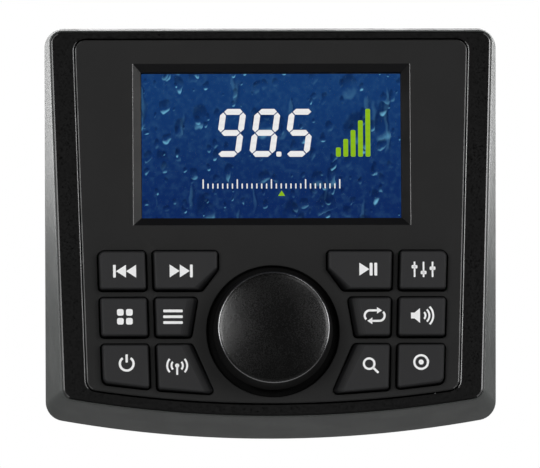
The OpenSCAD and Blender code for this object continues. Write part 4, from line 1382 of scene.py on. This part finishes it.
class Sign(Enum):
    """The signs printed on the buttons, each with its outlines."""

    PREVIOUS = (bar(-2.6, 0.0, 0.7, 3.3), arrow(0.35, 0.0, -2.55, 3.3), arrow(2.95, 0.0, -2.55, 3.3))
    NEXT = (bar(2.6, 0.0, 0.7, 3.3), arrow(-0.35, 0.0, 2.55, 3.3), arrow(-2.95, 0.0, 2.55, 3.3))
    PLAY_PAUSE = (arrow(-2.3, 0.0, 2.55, 3.3), bar(0.7, 0.0, 0.75, 3.3), bar(1.9, 0.0, 0.75, 3.3))
    SLIDERS = (bar(-2.3, 0.0, 0.45, 4.0), bar(0.0, 0.0, 0.45, 4.0), bar(2.3, 0.0, 0.45, 4.0),
               bar(-2.3, 0.7, 1.5, 0.9), bar(0.0, -0.8, 1.5, 0.9), bar(2.3, 0.3, 1.5, 0.9))
    SOURCE = (bar(-1.15, 1.15, 1.7, 1.7), bar(1.15, 1.15, 1.7, 1.7), bar(-1.15, -1.15, 1.7, 1.7),
              bar(1.15, -1.15, 1.7, 1.7))
    LIST = (bar(0.0, 1.5, 5.0, 0.7), bar(0.0, 0.0, 5.0, 0.7), bar(0.0, -1.5, 5.0, 0.7))
    POWER = (band(1.75, 0.6, 125.0, 415.0), bar(0.0, 1.35, 0.6, 2.1))
    RADIO = (circle(0.55, steps=20), bar(0.0, -1.3, 0.5, 2.2), band(1.45, 0.5, -42.0, 42.0),
             band(1.45, 0.5, 138.0, 222.0), band(2.55, 0.5, -42.0, 42.0), band(2.55, 0.5, 138.0, 222.0))
    REPEAT = (band(1.35, 0.55, 90.0, 225.0, (-1.2, 0.0)), band(1.35, 0.55, -90.0, 45.0, (1.2, 0.0)),
              bar(-0.3, 1.35, 2.2, 0.55), bar(0.3, -1.35, 2.2, 0.55), arrow(0.6, 1.35, 1.3, 1.7),
              arrow(-0.6, -1.35, -1.3, 1.7))
    SPEAKER = ([(-2.9, -0.75), (-2.0, -0.75), (-0.6, -1.9), (-0.6, 1.9), (-2.0, 0.75), (-2.9, 0.75)],
               band(1.2, 0.5, -45.0, 45.0, (-0.4, 0.0)), band(2.2, 0.5, -45.0, 45.0, (-0.4, 0.0)),
               band(3.2, 0.5, -45.0, 45.0, (-0.4, 0.0)))
    SEARCH = (ring_of(1.35, 0.55, (-0.5, 0.5)), [(0.3, -0.7), (0.7, -0.3), (2.05, -1.65), (1.65, -2.05)])
    ONE_CHANNEL = (ring_of(1.75, 0.55), circle(0.65, steps=20))


@dataclass(frozen=True)
class Key:
    """One button: its CAD node, its place in a group and its sign."""

    node: str
    side: Side
    row: int
    col: int
    sign: Sign
    at: Point


@dataclass
class KeyBank:
    """The twelve buttons with the white signs on them."""

    face: Face
    shape: KeyShape
    low: float = -2.4
    crown_low: float = 1.4
    top: float = 2.4
    side_drop: float = 0.4
    edge_round: float = 0.75
    facets: tuple[float, float, float] = (1.4, 2.4, 2.4)
    facet_bend: float = 0.2
    print_t: float = 0.03
    keys: tuple[Key, ...] = (
        Key("button_previous", Side.LEFT, 0, 0, Sign.PREVIOUS, (-37.9, -9.83)),
        Key("button_next", Side.LEFT, 0, 1, Sign.NEXT, (-23.43, -9.78)),
        Key("button_mode", Side.LEFT, 1, 0, Sign.SOURCE, (-37.9, -21.6)),
        Key("button_menu", Side.LEFT, 1, 1, Sign.LIST, (-25.6, -21.6)),
        Key("button_power", Side.LEFT, 2, 0, Sign.POWER, (-37.5, -33.7)),
        Key("button_band", Side.LEFT, 2, 1, Sign.RADIO, (-24.6, -34.2)),
        Key("button_equaliser", Side.RIGHT, 0, 0, Sign.SLIDERS, (38.6, -9.5)),
        Key("button_play_pause", Side.RIGHT, 0, 1, Sign.PLAY_PAUSE, (24.47, -9.4)),
        Key("button_loudness", Side.RIGHT, 1, 0, Sign.SPEAKER, (38.2, -21.4)),
        Key("button_repeat", Side.RIGHT, 1, 1, Sign.REPEAT, (26.0, -21.4)),
        Key("button_mono", Side.RIGHT, 2, 0, Sign.ONE_CHANNEL, (37.8, -33.4)),
        Key("button_scan", Side.RIGHT, 2, 1, Sign.SEARCH, (25.0, -34.3)))

    def cap(self, key: Key) -> None:
        """Makes one button: straight sides, an edge rolled over and a facet towards the knob, painted darker
        in steps from the sides up to the top as painted shade.

        Args:
            key: The button.
        """
        sketch = MeshSketch()
        steps = [(0.0, self.low), (0.0, self.crown_low - self.side_drop)]
        steps += [(inset, self.top - drop) for inset, drop in quarter_round(self.edge_round, 5)]
        loops = []
        for inset, height in steps:
            share = max(0.0, (height - self.crown_low) / (self.top - self.crown_low))
            curve = 1.0 - math.sqrt(max(0.0, 1.0 - share * share))
            facet = self.facets[key.row] * ((1.0 - self.facet_bend) * share + self.facet_bend * curve)
            outline = self.shape.outline(key.side, key.row, key.col, -inset, facet)
            loops.append(self.face.ring(outline, height))
        # Painted shade: the lowest strips take the darkest black and the next three take lighter steps, up to
        # the top's own black.
        shade_slot, *shade_steps = range(1, 5)
        rings = sketch.loft(loops, bands=dict(enumerate([shade_slot] * 3 + shade_steps)))
        sketch.fill(rings[0])
        sketch.fill(rings[-1])
        settle(sketch.finish(key.node + "_cap"), key.node + "_body",
               [BUTTON_BLACK, SHADE_BLACK, *BUTTON_SHADE_STEPS], [key.node])

    def sign(self, key: Key) -> None:
        """Prints one button's sign on its top.

        Args:
            key: The button.
        """
        sketch = MeshSketch()
        for outline in key.sign.value:
            spots = [(key.at[0] + x, key.at[1] + y) for x, y in outline]
            sketch.solid([self.face.ring(spots, self.top + t) for t in (-self.print_t, self.print_t)])
        settle(sketch.finish(key.node + "_sign"), key.node + "_body", [LEGEND_WHITE])

    def build(self) -> None:
        """Makes every button and its sign."""
        for key in self.keys:
            self.cap(key)
            self.sign(key)


@dataclass
class Knob:
    """Rotary knob with its satin domed cap."""

    face: Face
    foot_r: float = 15.3
    edge_r: float = 14.3
    wall: float = 2.0
    foot: float = 1.3
    edge: float = 7.8
    foot_round: float = 0.35
    edge_round: float = 0.3
    cap_r: float = 13.97
    cap_seat: float = 6.8
    crown: float = 1.3
    cap_round: float = 0.15
    cap_gap: float = 0.03
    cap_lip: Point = (0.02, 0.05)
    foot_soft: float = 0.1
    seat_drop: float = 0.02
    deck: float = 5.6
    hub_r: float = 4.8
    hub_low: float = 2.6
    bore_r: float = 3.05
    dome_steps: int = 20
    points: int = 160

    def skirt(self) -> None:
        """Turns the knob: hub, hollow, foot, drafted skirt and rolled edge."""
        profile = [(self.bore_r, self.cap_seat), (self.bore_r, self.hub_low), (self.hub_r, self.hub_low),
                   (self.hub_r, self.deck), (self.edge_r - self.wall, self.deck),
                   (self.foot_r - self.wall, self.foot), (self.foot_r - self.foot_round, self.foot),
                   (self.foot_r - self.foot_soft, self.foot + self.foot_soft),
                   (self.foot_r, self.foot + self.foot_round)]
        roll = quarter_round(self.edge_round, 5)
        bright = 1
        rolled = {len(profile) + i: bright for i in range(1, len(roll) + 1)}
        profile += [(self.edge_r - inset, self.edge - drop) for inset, drop in roll]
        seat_r = self.cap_r + self.cap_gap
        profile += [(seat_r, self.edge - self.seat_drop), (seat_r, self.cap_seat),
                    (self.bore_r, self.cap_seat)]
        sketch = MeshSketch()
        sketch.lathe(profile, self.face.point, (0.0, KNOB_V), self.points, rolled)
        settle(sketch.finish("knob_skirt"), "knob", [KNOB_BLACK, KNOB_EDGE], ["volume_knob"])

    def cap(self) -> None:
        """Turns the cap: its side, a rolled edge and the dome."""
        rim = self.cap_r - self.cap_round
        dome_r = (self.cap_r ** 2 + self.crown ** 2) / (2 * self.crown)
        crest = self.edge + self.crown
        def dome(radius: float) -> float:
            """Height of the dome at a radius."""
            return crest - dome_r + math.sqrt(dome_r ** 2 - radius ** 2)
        profile = [(0.0, self.cap_seat), (self.cap_r, self.cap_seat),
                   (self.cap_r, self.edge - self.cap_round),
                   (self.cap_r - self.cap_lip[0], self.edge - self.cap_lip[1])]
        radii = (rim * (1 - i / self.dome_steps) for i in range(self.dome_steps + 1))
        profile += [(radius, dome(radius)) for radius in radii]
        sketch = MeshSketch()
        sketch.lathe(profile, self.face.point, (0.0, KNOB_V), self.points)
        settle(sketch.finish("knob_dome"), "knob", [KNOB_SATIN], ["knob_cap"])

    def build(self) -> None:
        """Makes the knob and its cap."""
        self.skirt()
        self.cap()


@dataclass(frozen=True)
class Numeral:
    """Slanted numerals made of seven lit segments."""

    width: float = 6.6
    height: float = 12.4
    stroke: float = 1.5
    gap: float = 0.18
    slant: float = 8.0
    segments: tuple[str, ...] = ("abcdef", "bc", "abdeg", "abcdg", "bcfg", "acdfg", "acdefg", "abc",
                                 "abcdefg", "abcdfg")

    def across(self, y: float) -> list[Point]:
        """A segment that lies along x at height y."""
        end, half = self.width / 2 - self.stroke / 2 - self.gap, self.stroke / 2
        return [(-end, y), (-end + half, y + half), (end - half, y + half), (end, y), (end - half, y - half),
                (-end + half, y - half)]

    def upright(self, x: float, y: float) -> list[Point]:
        """A segment that stands at x, round the height y."""
        end, half = (self.height - self.stroke) / 4 - self.gap, self.stroke / 2
        return [(x, y + end), (x + half, y + end - half), (x + half, y - end + half), (x, y - end),
                (x - half, y - end + half), (x - half, y + end - half)]

    def outlines(self, digit: int, at: Point) -> list[list[Point]]:
        """Draws one numeral.

        Args:
            digit: Its value, 0 to 9.
            at: Its middle.

        Returns:
            The outlines of its lit segments.
        """
        far, rise = (self.width - self.stroke) / 2, (self.height - self.stroke) / 2
        drawn = {"a": self.across(rise), "g": self.across(0.0), "d": self.across(-rise),
                 "b": self.upright(far, rise / 2), "c": self.upright(far, -rise / 2),
                 "e": self.upright(-far, -rise / 2), "f": self.upright(-far, rise / 2)}
        lean = math.tan(math.radians(self.slant))
        return [[(at[0] + x + lean * y, at[1] + y) for x, y in drawn[name]] for name in self.segments[digit]]


@dataclass
class Display:
    """Lit display behind its clear window."""

    face: Face
    screen_v: float = 23.1747
    lit_half: Point = (33.2, 18.7)
    lit_round: float = 0.2
    panel_front: float = -2.8
    panel_gap: float = 0.005
    field_t: float = 0.03
    mark_t: float = 0.03
    mark_sink: float = 0.01
    readout: tuple[int, ...] = (9, 8, 5)
    readout_v: float = 26.6
    readout_left: float = 1.6
    pitch: float = 8.8
    point_size: float = 1.3
    point_left: float = 0.85
    point_rise: float = 0.7
    scale_v: float = 13.4
    scale_w: float = 35.0
    scale_ticks: int = 29
    scale_group: int = 7
    tick_w: float = 0.32
    tick_tall: float = 2.4
    tick_short: float = 1.3
    tick_foot: float = 1.2
    pointer: tuple[Point, ...] = ((2.6, -1.7), (3.5, -3.1), (1.7, -3.1))
    level_u: float = 17.2
    level_w: float = 1.25
    level_pitch: float = 1.9
    level_heights: tuple[float, ...] = (2.4, 4.6, 6.9, 9.4, 12.4)

    def slab(self, name: str, outlines: Iterable[list[Point]], low: float, high: float,
             finish: Finish) -> None:
        """Makes one thin lit layer of the display.

        Args:
            name: The piece's name.
            outlines: What is lit in it.
            low: Where the layer starts above the face.
            high: Where it ends.
            finish: Its finish.
        """
        sketch = MeshSketch()
        for outline in outlines:
            sketch.solid([self.face.ring(outline, low), self.face.ring(outline, high)])
        settle(sketch.finish(name), HOUSING, [finish])

    def white_marks(self, numeral: Numeral) -> list[list[Point]]:
        """Draws the readout and the tuning scale.

        Args:
            numeral: The shape of the numerals.

        Returns:
            The outlines of both.
        """
        first = -self.pitch * (len(self.readout) - 1) / 2 - self.readout_left
        marks = [outline for i, digit in enumerate(self.readout)
                 for outline in numeral.outlines(digit, (first + i * self.pitch, self.readout_v))]
        point_u = first + 1.5 * self.pitch - self.point_left
        point_v = self.readout_v - numeral.height / 2 + self.point_rise
        marks.append(bar(point_u, point_v, self.point_size, self.point_size))
        spread = self.scale_w / (self.scale_ticks - 1)
        for i in range(self.scale_ticks):
            tall = self.tick_short if i % self.scale_group else self.tick_tall
            marks.append(bar(i * spread - self.scale_w / 2, self.scale_v + tall / 2 - self.tick_foot,
                             self.tick_w, tall))
        return marks

    def green_marks(self, numeral: Numeral) -> list[list[Point]]:
        """Draws the level bars and the scale's pointer.

        Args:
            numeral: The shape of the numerals, which the bars stand level with.

        Returns:
            The outlines of both.
        """
        foot = self.readout_v - numeral.height / 2
        marks = [bar(self.level_u + i * self.level_pitch, foot + tall / 2, self.level_w, tall)
                 for i, tall in enumerate(self.level_heights)]
        marks.append([(u, self.scale_v + v) for u, v in self.pointer])
        return marks

    def build(self) -> None:
        """Makes the lit field and its marks, and dresses the CAD nodes round them."""
        field_top, numeral = self.panel_front + self.field_t, Numeral()
        low, high = field_top - self.mark_sink, field_top + self.mark_t
        lit = rectangle(*self.lit_half, self.lit_round, (0.0, self.screen_v), 2)
        self.slab("display_field", [lit], self.panel_front + self.panel_gap, field_top, DISPLAY_BLUE)
        self.slab("display_readout", self.white_marks(numeral), low, high, MARK_WHITE)
        self.slab("display_level", self.green_marks(numeral), low, high, MARK_GREEN)
        for node, finish in (("lcd_panel", BLACK_PLASTIC), ("display_window", WINDOW_CLEAR),
                             ("window_seal", SEAL_RUBBER), ("lcd_tray", BRIGHT_STEEL)):
            dress(node, finish)


def to_rear(x: float, z: float, y: float) -> Vector:
    """A place behind the dash, with its depth y last."""
    return Vector((x, y, z)) * MM


@dataclass
class RearFittings:
    """Chassis, heat sink, studs, screws and sockets behind the dash."""

    stud_at: Point = (50.0, 40.0)
    stud_r: float = 2.5
    stud_root: float = 2.05
    stud_pitch: float = 0.8
    stud_low: float = -2.9
    stud_head_top: float = -2.2
    stud_head_r: float = 3.7
    stud_collar_r: float = 3.0
    stud_collar_top: float = -1.5
    stud_end: float = 36.0
    thread_low: float = 0.4
    thread_flank: float = 2.4
    tip_in: float = 0.25
    tip_slope: float = 1.2
    post_at: Point = (52.95, 29.0)
    flange_face: float = -1.5
    flange_shank: float = 4.0
    screw_r: float = 1.3
    screw_tip: Point = (0.6, 0.5)
    screw_points: int = 36
    head_r: float = 2.1
    head_t: float = 1.3
    head_curve: tuple[Point, ...] = ((1.0, 0.0), (1.0, 0.45), (0.95, 0.7), (0.84, 0.9), (0.7, 1.0))
    cross_arm: float = 0.62
    cross_half: float = 0.17
    cross_taper: float = 0.8
    cross_deep: float = 0.8
    sink_screw_at: Point = (29.0, 12.0)
    sink_z: float = 18.959
    sink_face: float = 46.0
    sink_shank: float = 6.8
    jack_at: Point = (22.55, -28.959)
    jack_pitch: float = 12.0
    jack_points: int = 56
    jack_r: float = 4.15
    jack_base_r: float = 5.15
    jack_low: float = 30.6
    jack_step: float = 40.3
    jack_end: float = 51.0
    jack_round: float = 0.35
    jack_soft: float = 0.1
    jack_wall: float = 0.75
    fill_in: float = 0.8
    fill_drop: float = 0.3
    contact_r: float = 1.6
    contact_room: Point = (0.35, 0.3)
    contact_drop: float = 0.25

    def stud(self, sketch: MeshSketch, at: Point, columns: int = 28, rows: int = 5) -> None:
        """Turns one threaded stud, with its head in the flange and a chamfered end.

        Args:
            sketch: The mesh it goes into.
            at: Its axis in X and Z.
            columns: Number of points round the thread.
            rows: Number of rings to a turn of the thread.
        """
        sketch.lathe([(0.0, self.stud_low), (self.stud_head_r, self.stud_low),
                      (self.stud_head_r, self.stud_head_top), (self.stud_collar_r, self.stud_head_top),
                      (self.stud_collar_r, self.stud_collar_top), (self.stud_r, self.stud_collar_top),
                      (self.stud_r, self.thread_low)], to_rear, at, columns)
        loops = []
        length, depth = self.stud_end - self.thread_low, self.stud_r - self.stud_root
        count = int(length / self.stud_pitch * rows)
        for i in range(count + 1):
            height = self.thread_low + length * i / count
            tip = self.stud_root - self.tip_in + max(0.0, self.stud_end - height) * self.tip_slope
            loop = []
            for j in range(columns):
                angle = 2 * math.pi * j / columns
                turn = (height / self.stud_pitch + j / columns) % 1.0
                crest = self.stud_root + depth * min(1.0, self.thread_flank * min(turn, 1.0 - turn))
                radius = min(self.stud_r, tip, crest if i else self.stud_r)
                loop.append(to_rear(at[0] + radius * math.cos(angle), at[1] + radius * math.sin(angle),
                                    height))
            loops.append(loop)
        rings = sketch.loft(loops)
        sketch.face(rings[-1])

    def screw(self, sketch: MeshSketch, at: Point, seat: float, shank: float) -> None:
        """Turns one pan-head screw with a cross recess.

        Args:
            sketch: The mesh it goes into.
            at: Its axis in X and Z.
            seat: Depth of the face that its head sits on.
            shank: Length of its shank in front of that face.
        """
        top = seat + self.head_t
        arm, half = self.head_r * self.cross_arm, self.head_r * self.cross_half
        cross = [(half, arm), (half, half), (arm, half), (arm, -half), (half, -half), (half, -arm),
                 (-half, -arm), (-half, -half), (-arm, -half), (-arm, half), (-half, half), (-half, arm)]
        tip_share, tip_t = self.screw_tip
        profile = [(self.screw_r * tip_share, seat - shank), (self.screw_r, seat - shank + tip_t),
                   (self.screw_r, seat)]
        profile += [(self.head_r * wide, seat + self.head_t * high) for wide, high in self.head_curve]
        rings = sketch.loft([[to_rear(x, z, y) for x, z in circle(r, at, self.screw_points)]
                             for r, y in profile])
        sketch.face(list(reversed(rings[0])))
        recess = sketch.loft([[to_rear(at[0] + x * share, at[1] + z * share, y) for x, z in cross]
                              for share, y in ((1.0, top), (self.cross_taper, top - self.cross_deep))])
        sketch.fill(rings[-1], recess[0])
        sketch.fill(recess[-1])

    def jack(self, sketch: MeshSketch, at: Point, colour: int) -> None:
        """Turns one line-out jack: plated sleeve, coloured insulator and centre contact.

        Args:
            sketch: The mesh it goes into.
            at: Its axis in X and Z.
            colour: Material index of its insulator.
        """
        fill_r, fill_top = self.jack_r - self.fill_in, self.jack_end - self.fill_drop
        contact_top = self.jack_end - self.contact_drop
        room_low, room_top = (self.contact_r + room for room in self.contact_room)
        sleeve = [(0.0, self.jack_low), (self.jack_base_r, self.jack_low), (self.jack_base_r, self.jack_step),
                  (self.jack_r, self.jack_step), (self.jack_r, self.jack_end - self.jack_round),
                  (self.jack_r - self.jack_soft, self.jack_end - self.jack_soft),
                  (self.jack_r - self.jack_round, self.jack_end),
                  (self.jack_r - self.jack_wall, self.jack_end), (fill_r, fill_top)]
        insulator = [(fill_r, fill_top), (room_low, fill_top), (room_top, contact_top)]
        contact = [(room_top, contact_top), (self.contact_r, contact_top), (self.contact_r, self.jack_step),
                   (0.0, self.jack_step)]
        for material, profile in ((0, sleeve), (colour, insulator), (0, contact)):
            sketch.material = material
            sketch.lathe(profile, to_rear, at, self.jack_points)

    def build(self) -> None:
        """Makes the turned pieces and dresses the CAD nodes round them."""
        signs = [(x, z) for x in (-1, 1) for z in (-1, 1)]
        sketch = MeshSketch()
        for x, z in signs:
            self.stud(sketch, (x * self.stud_at[0], z * self.stud_at[1]))
        settle(sketch.finish("threaded_studs", sharp=50.0), HOUSING, [BRIGHT_STEEL],
               ["mounting_studs"])
        sketch = MeshSketch()
        for x, z in signs:
            at = (x * self.sink_screw_at[0], self.sink_z + z * self.sink_screw_at[1])
            self.screw(sketch, at, self.sink_face, self.sink_shank)
        settle(sketch.finish("sink_screws"), HOUSING, [BRIGHT_STEEL], ["heat_sink_screws"])
        sketch = MeshSketch()
        for x in (-1, 1):
            for z in (-1, 0, 1):
                at = (x * self.post_at[0], z * self.post_at[1])
                self.screw(sketch, at, self.flange_face, self.flange_shank)
        settle(sketch.finish("flange_screws"), HOUSING, [BRIGHT_STEEL], ["chassis_screws"])
        sketch = MeshSketch()
        for index, z in ((1, -1), (2, 1)):
            self.jack(sketch, (self.jack_at[0], self.jack_at[1] + z * self.jack_pitch / 2), index)
        settle(sketch.finish("line_jacks"), HOUSING,
               [CONTACT_BRASS, JACK_RED, WHITE_PLASTIC], ["line_out_jacks"])
        for node, finish, edge in (
                ("rear_chassis", CHASSIS_BLACK, 0.5), ("chassis_flange", CHASSIS_BLACK, 0.2),
                ("panel_gasket", GASKET_FOAM, 0.2), ("heat_sink", SINK_ALUMINIUM, 0.25),
                ("harness_socket", BLACK_PLASTIC, 0.2), ("harness_pins", CONTACT_BRASS, 0.1),
                ("antenna_socket", BRIGHT_STEEL, 0.2)):
            dress(node, finish, edge)


@dataclass
class InnerWorks:
    """Boards, encoder, ribbons and the parts on them, behind the face."""

    finishes: dict[str, Finish] = field(default_factory=lambda: {
        "encoder_shaft": BRIGHT_STEEL, "push_slider": WHITE_PLASTIC, "encoder_body": BRIGHT_STEEL,
        "encoder_nut": BRIGHT_STEEL, "encoder_washer": SEAL_RUBBER, "keypad_mat": SEAL_RUBBER,
        "tact_switches": BLACK_PLASTIC, "control_board": BOARD_GREEN, "control_board_screws": BRIGHT_STEEL,
        "processor_chip": BLACK_PLASTIC, "ribbon_socket": WHITE_PLASTIC, "display_ribbon": RIBBON_AMBER,
        "link_sockets": WHITE_PLASTIC, "link_ribbon": RIBBON_GREY, "main_board": BOARD_GREEN,
        "main_board_screws": BRIGHT_STEEL, "capacitors": CAPACITOR_SLEEVE, "tuner_can": BRIGHT_STEEL,
        "amplifier_chip": BLACK_PLASTIC, "thermal_pad": PAD_GREY, "amplifier_clamp": BRIGHT_STEEL,
        "amplifier_screws": BRIGHT_STEEL})
    edge: float = 0.1

    def build(self) -> None:
        """Dresses every inner CAD node."""
        for node, finish in self.finishes.items():
            dress(node, finish, self.edge)


# Studio

@dataclass(frozen=True)
class Softbox:
    """One oblong lamp: its place and size in metres, its watts, its spread in degrees and its aim."""

    name: str
    at: Spot
    width: float
    height: float
    power: float
    spread: float = 180.0
    aim: Spot = (0.0, -0.015, 0.0)


@dataclass
class Studio:
    """Camera, lamps, world and floor."""

    aim: Spot = (-0.00057, -0.015, 0.00005)
    distance: float = 5.5
    yaw: float = 2.0
    roll: float = -0.1
    lens: float = 1433.0
    clip: Point = (0.1, 20.0)
    floor_z: float = -0.62
    floor_half: float = 2.8
    floor_round: float = 0.06
    floor_colour: Colour = (0.75, 0.75, 0.75)
    front_level: float = 0.06
    rear_level: float = 0.2
    rear_dim: float = 0.18
    rear_shine: float = 0.9
    rear_from: Point = (-0.2, 0.6)
    wall_from: Point = (0.0, 0.3)
    wall_foot: float = 0.06
    boxes: tuple[Softbox, ...] = (
        Softbox("left_front", (-0.63, -1.02, 0.34), 0.5, 0.5, 7.3),
        Softbox("right_front", (0.81, -0.9, 0.32), 0.5, 0.5, 5.7),
        Softbox("top_front", (0.45, -0.78, 0.75), 0.5, 0.3, 1.35),
        Softbox("left_side", (-0.95, 0.28, 0.15), 0.9, 0.6, 4.2),
        Softbox("right_side", (0.95, 0.1, 0.15), 0.9, 0.6, 5.5),
        Softbox("left_rim", (-0.19, 0.095, 0.06), 0.14, 0.1, 0.122, 90.0, (-0.057, -0.008, 0.03)),
        Softbox("right_rim", (0.19, 0.085, 0.055), 0.14, 0.1, 0.12, 90.0, (0.057, -0.008, 0.02)),
        Softbox("back_panel", (0.0, 0.9, 0.17), 0.6, 0.3, 0.22, 60.0))

    def camera(self) -> None:
        """Sets up a long lens, a little to the left of the object's middle."""
        data = bpy.data.cameras.new("camera")
        data.lens = self.lens
        data.clip_start, data.clip_end = self.clip
        eye = bpy.data.objects.new("camera", data)
        turn = math.radians(self.yaw)
        aim = Vector(self.aim)
        eye.location = aim + Vector((-math.sin(turn), -math.cos(turn), 0.0)) * self.distance
        look = (aim - eye.location).to_track_quat("-Z", "Y").to_matrix()
        eye.rotation_euler = (look @ Matrix.Rotation(math.radians(self.roll), 3, "Z")).to_euler()
        bpy.context.scene.collection.objects.link(eye)
        bpy.context.scene.camera = eye

    def lamps(self) -> None:
        """Hangs the softboxes, each turned to its aim."""
        for box in self.boxes:
            data = bpy.data.lights.new(box.name, "AREA")
            data.shape, data.size, data.size_y, data.energy = "RECTANGLE", box.width, box.height, box.power
            data.spread = math.radians(box.spread)
            lamp = bpy.data.objects.new(box.name, data)
            lamp.location = box.at
            lamp.visible_camera = False
            lamp.rotation_euler = (Vector(box.aim) - lamp.location).to_track_quat("-Z", "Y").to_euler()
            bpy.context.scene.collection.objects.link(lamp)

    def world(self) -> None:
        """White to the camera; to the object, a pale wall behind it and a dark room in front of it."""
        room = bpy.data.worlds.new("studio")
        bpy.context.scene.world = room
        room.use_nodes = True
        graph = Graph(room.node_tree)
        way = graph.node("ShaderNodeSeparateXYZ", {0: graph.node("ShaderNodeTexCoord").outputs["Generated"]})
        behind = graph.span(way.outputs["Y"], *self.rear_from)
        ray = graph.node("ShaderNodeLightPath").outputs
        seen = graph.math("MAXIMUM", ray["Is Camera Ray"], ray["Is Transmission Ray"])
        wall_up = graph.span(way.outputs["Z"], *self.wall_from, self.wall_foot, self.rear_shine)
        shine = graph.math("MULTIPLY", graph.math("MULTIPLY", ray["Is Glossy Ray"], behind), wall_up)
        dimmed = graph.math("MULTIPLY", ray["Is Glossy Ray"], self.rear_dim)
        rear = graph.math("SUBTRACT", self.rear_level, dimmed)
        lit = graph.math("ADD", self.front_level, graph.math("MULTIPLY", behind, rear))
        level = graph.math("MAXIMUM", graph.math("MAXIMUM", seen, shine), lit)
        graph.feed(room.node_tree.nodes["Background"].inputs["Color"], graph.grey(level))

    def floor(self) -> None:
        """Lays a plain pale floor well below the object, which doesn't block a view from below."""
        sketch = MeshSketch()
        outline = rectangle(self.floor_half, self.floor_half, self.floor_round)
        sketch.face(sketch.ring(Vector((x, y, self.floor_z)) for x, y in outline))
        piece = sketch.finish("floor")
        if piece.data.polygons[0].normal.z < 0.0:
            piece.data.flip_normals()
        piece.data.materials.append(OneSided("floor_pale", self.floor_colour, roughness=0.8, specular=0.1,
                                             grain=900.0, contrast=0.04).material())

    def build(self) -> None:
        """Sets the view and puts up the studio."""
        bpy.context.scene.view_settings.view_transform = "Standard"
        self.camera()
        self.lamps()
        self.world()
        self.floor()


def main() -> None:
    """Builds the sub-assemblies in order and sets up the studio."""
    logging.basicConfig(level=logging.INFO, format="%(name)s %(message)s")
    joint = next(item for item in frame["joints"] if item["name"] == "knob_turn")
    face = Face.from_joint(joint)
    keys = KeyShape()
    for assembly in (BezelShell(face), FrameRing(face), FacePlate(face, keys), KeyBank(face, keys),
                     Knob(face), Display(face), RearFittings(), InnerWorks(), Studio()):
        assembly.build()


if __name__ == "__main__":
    main()
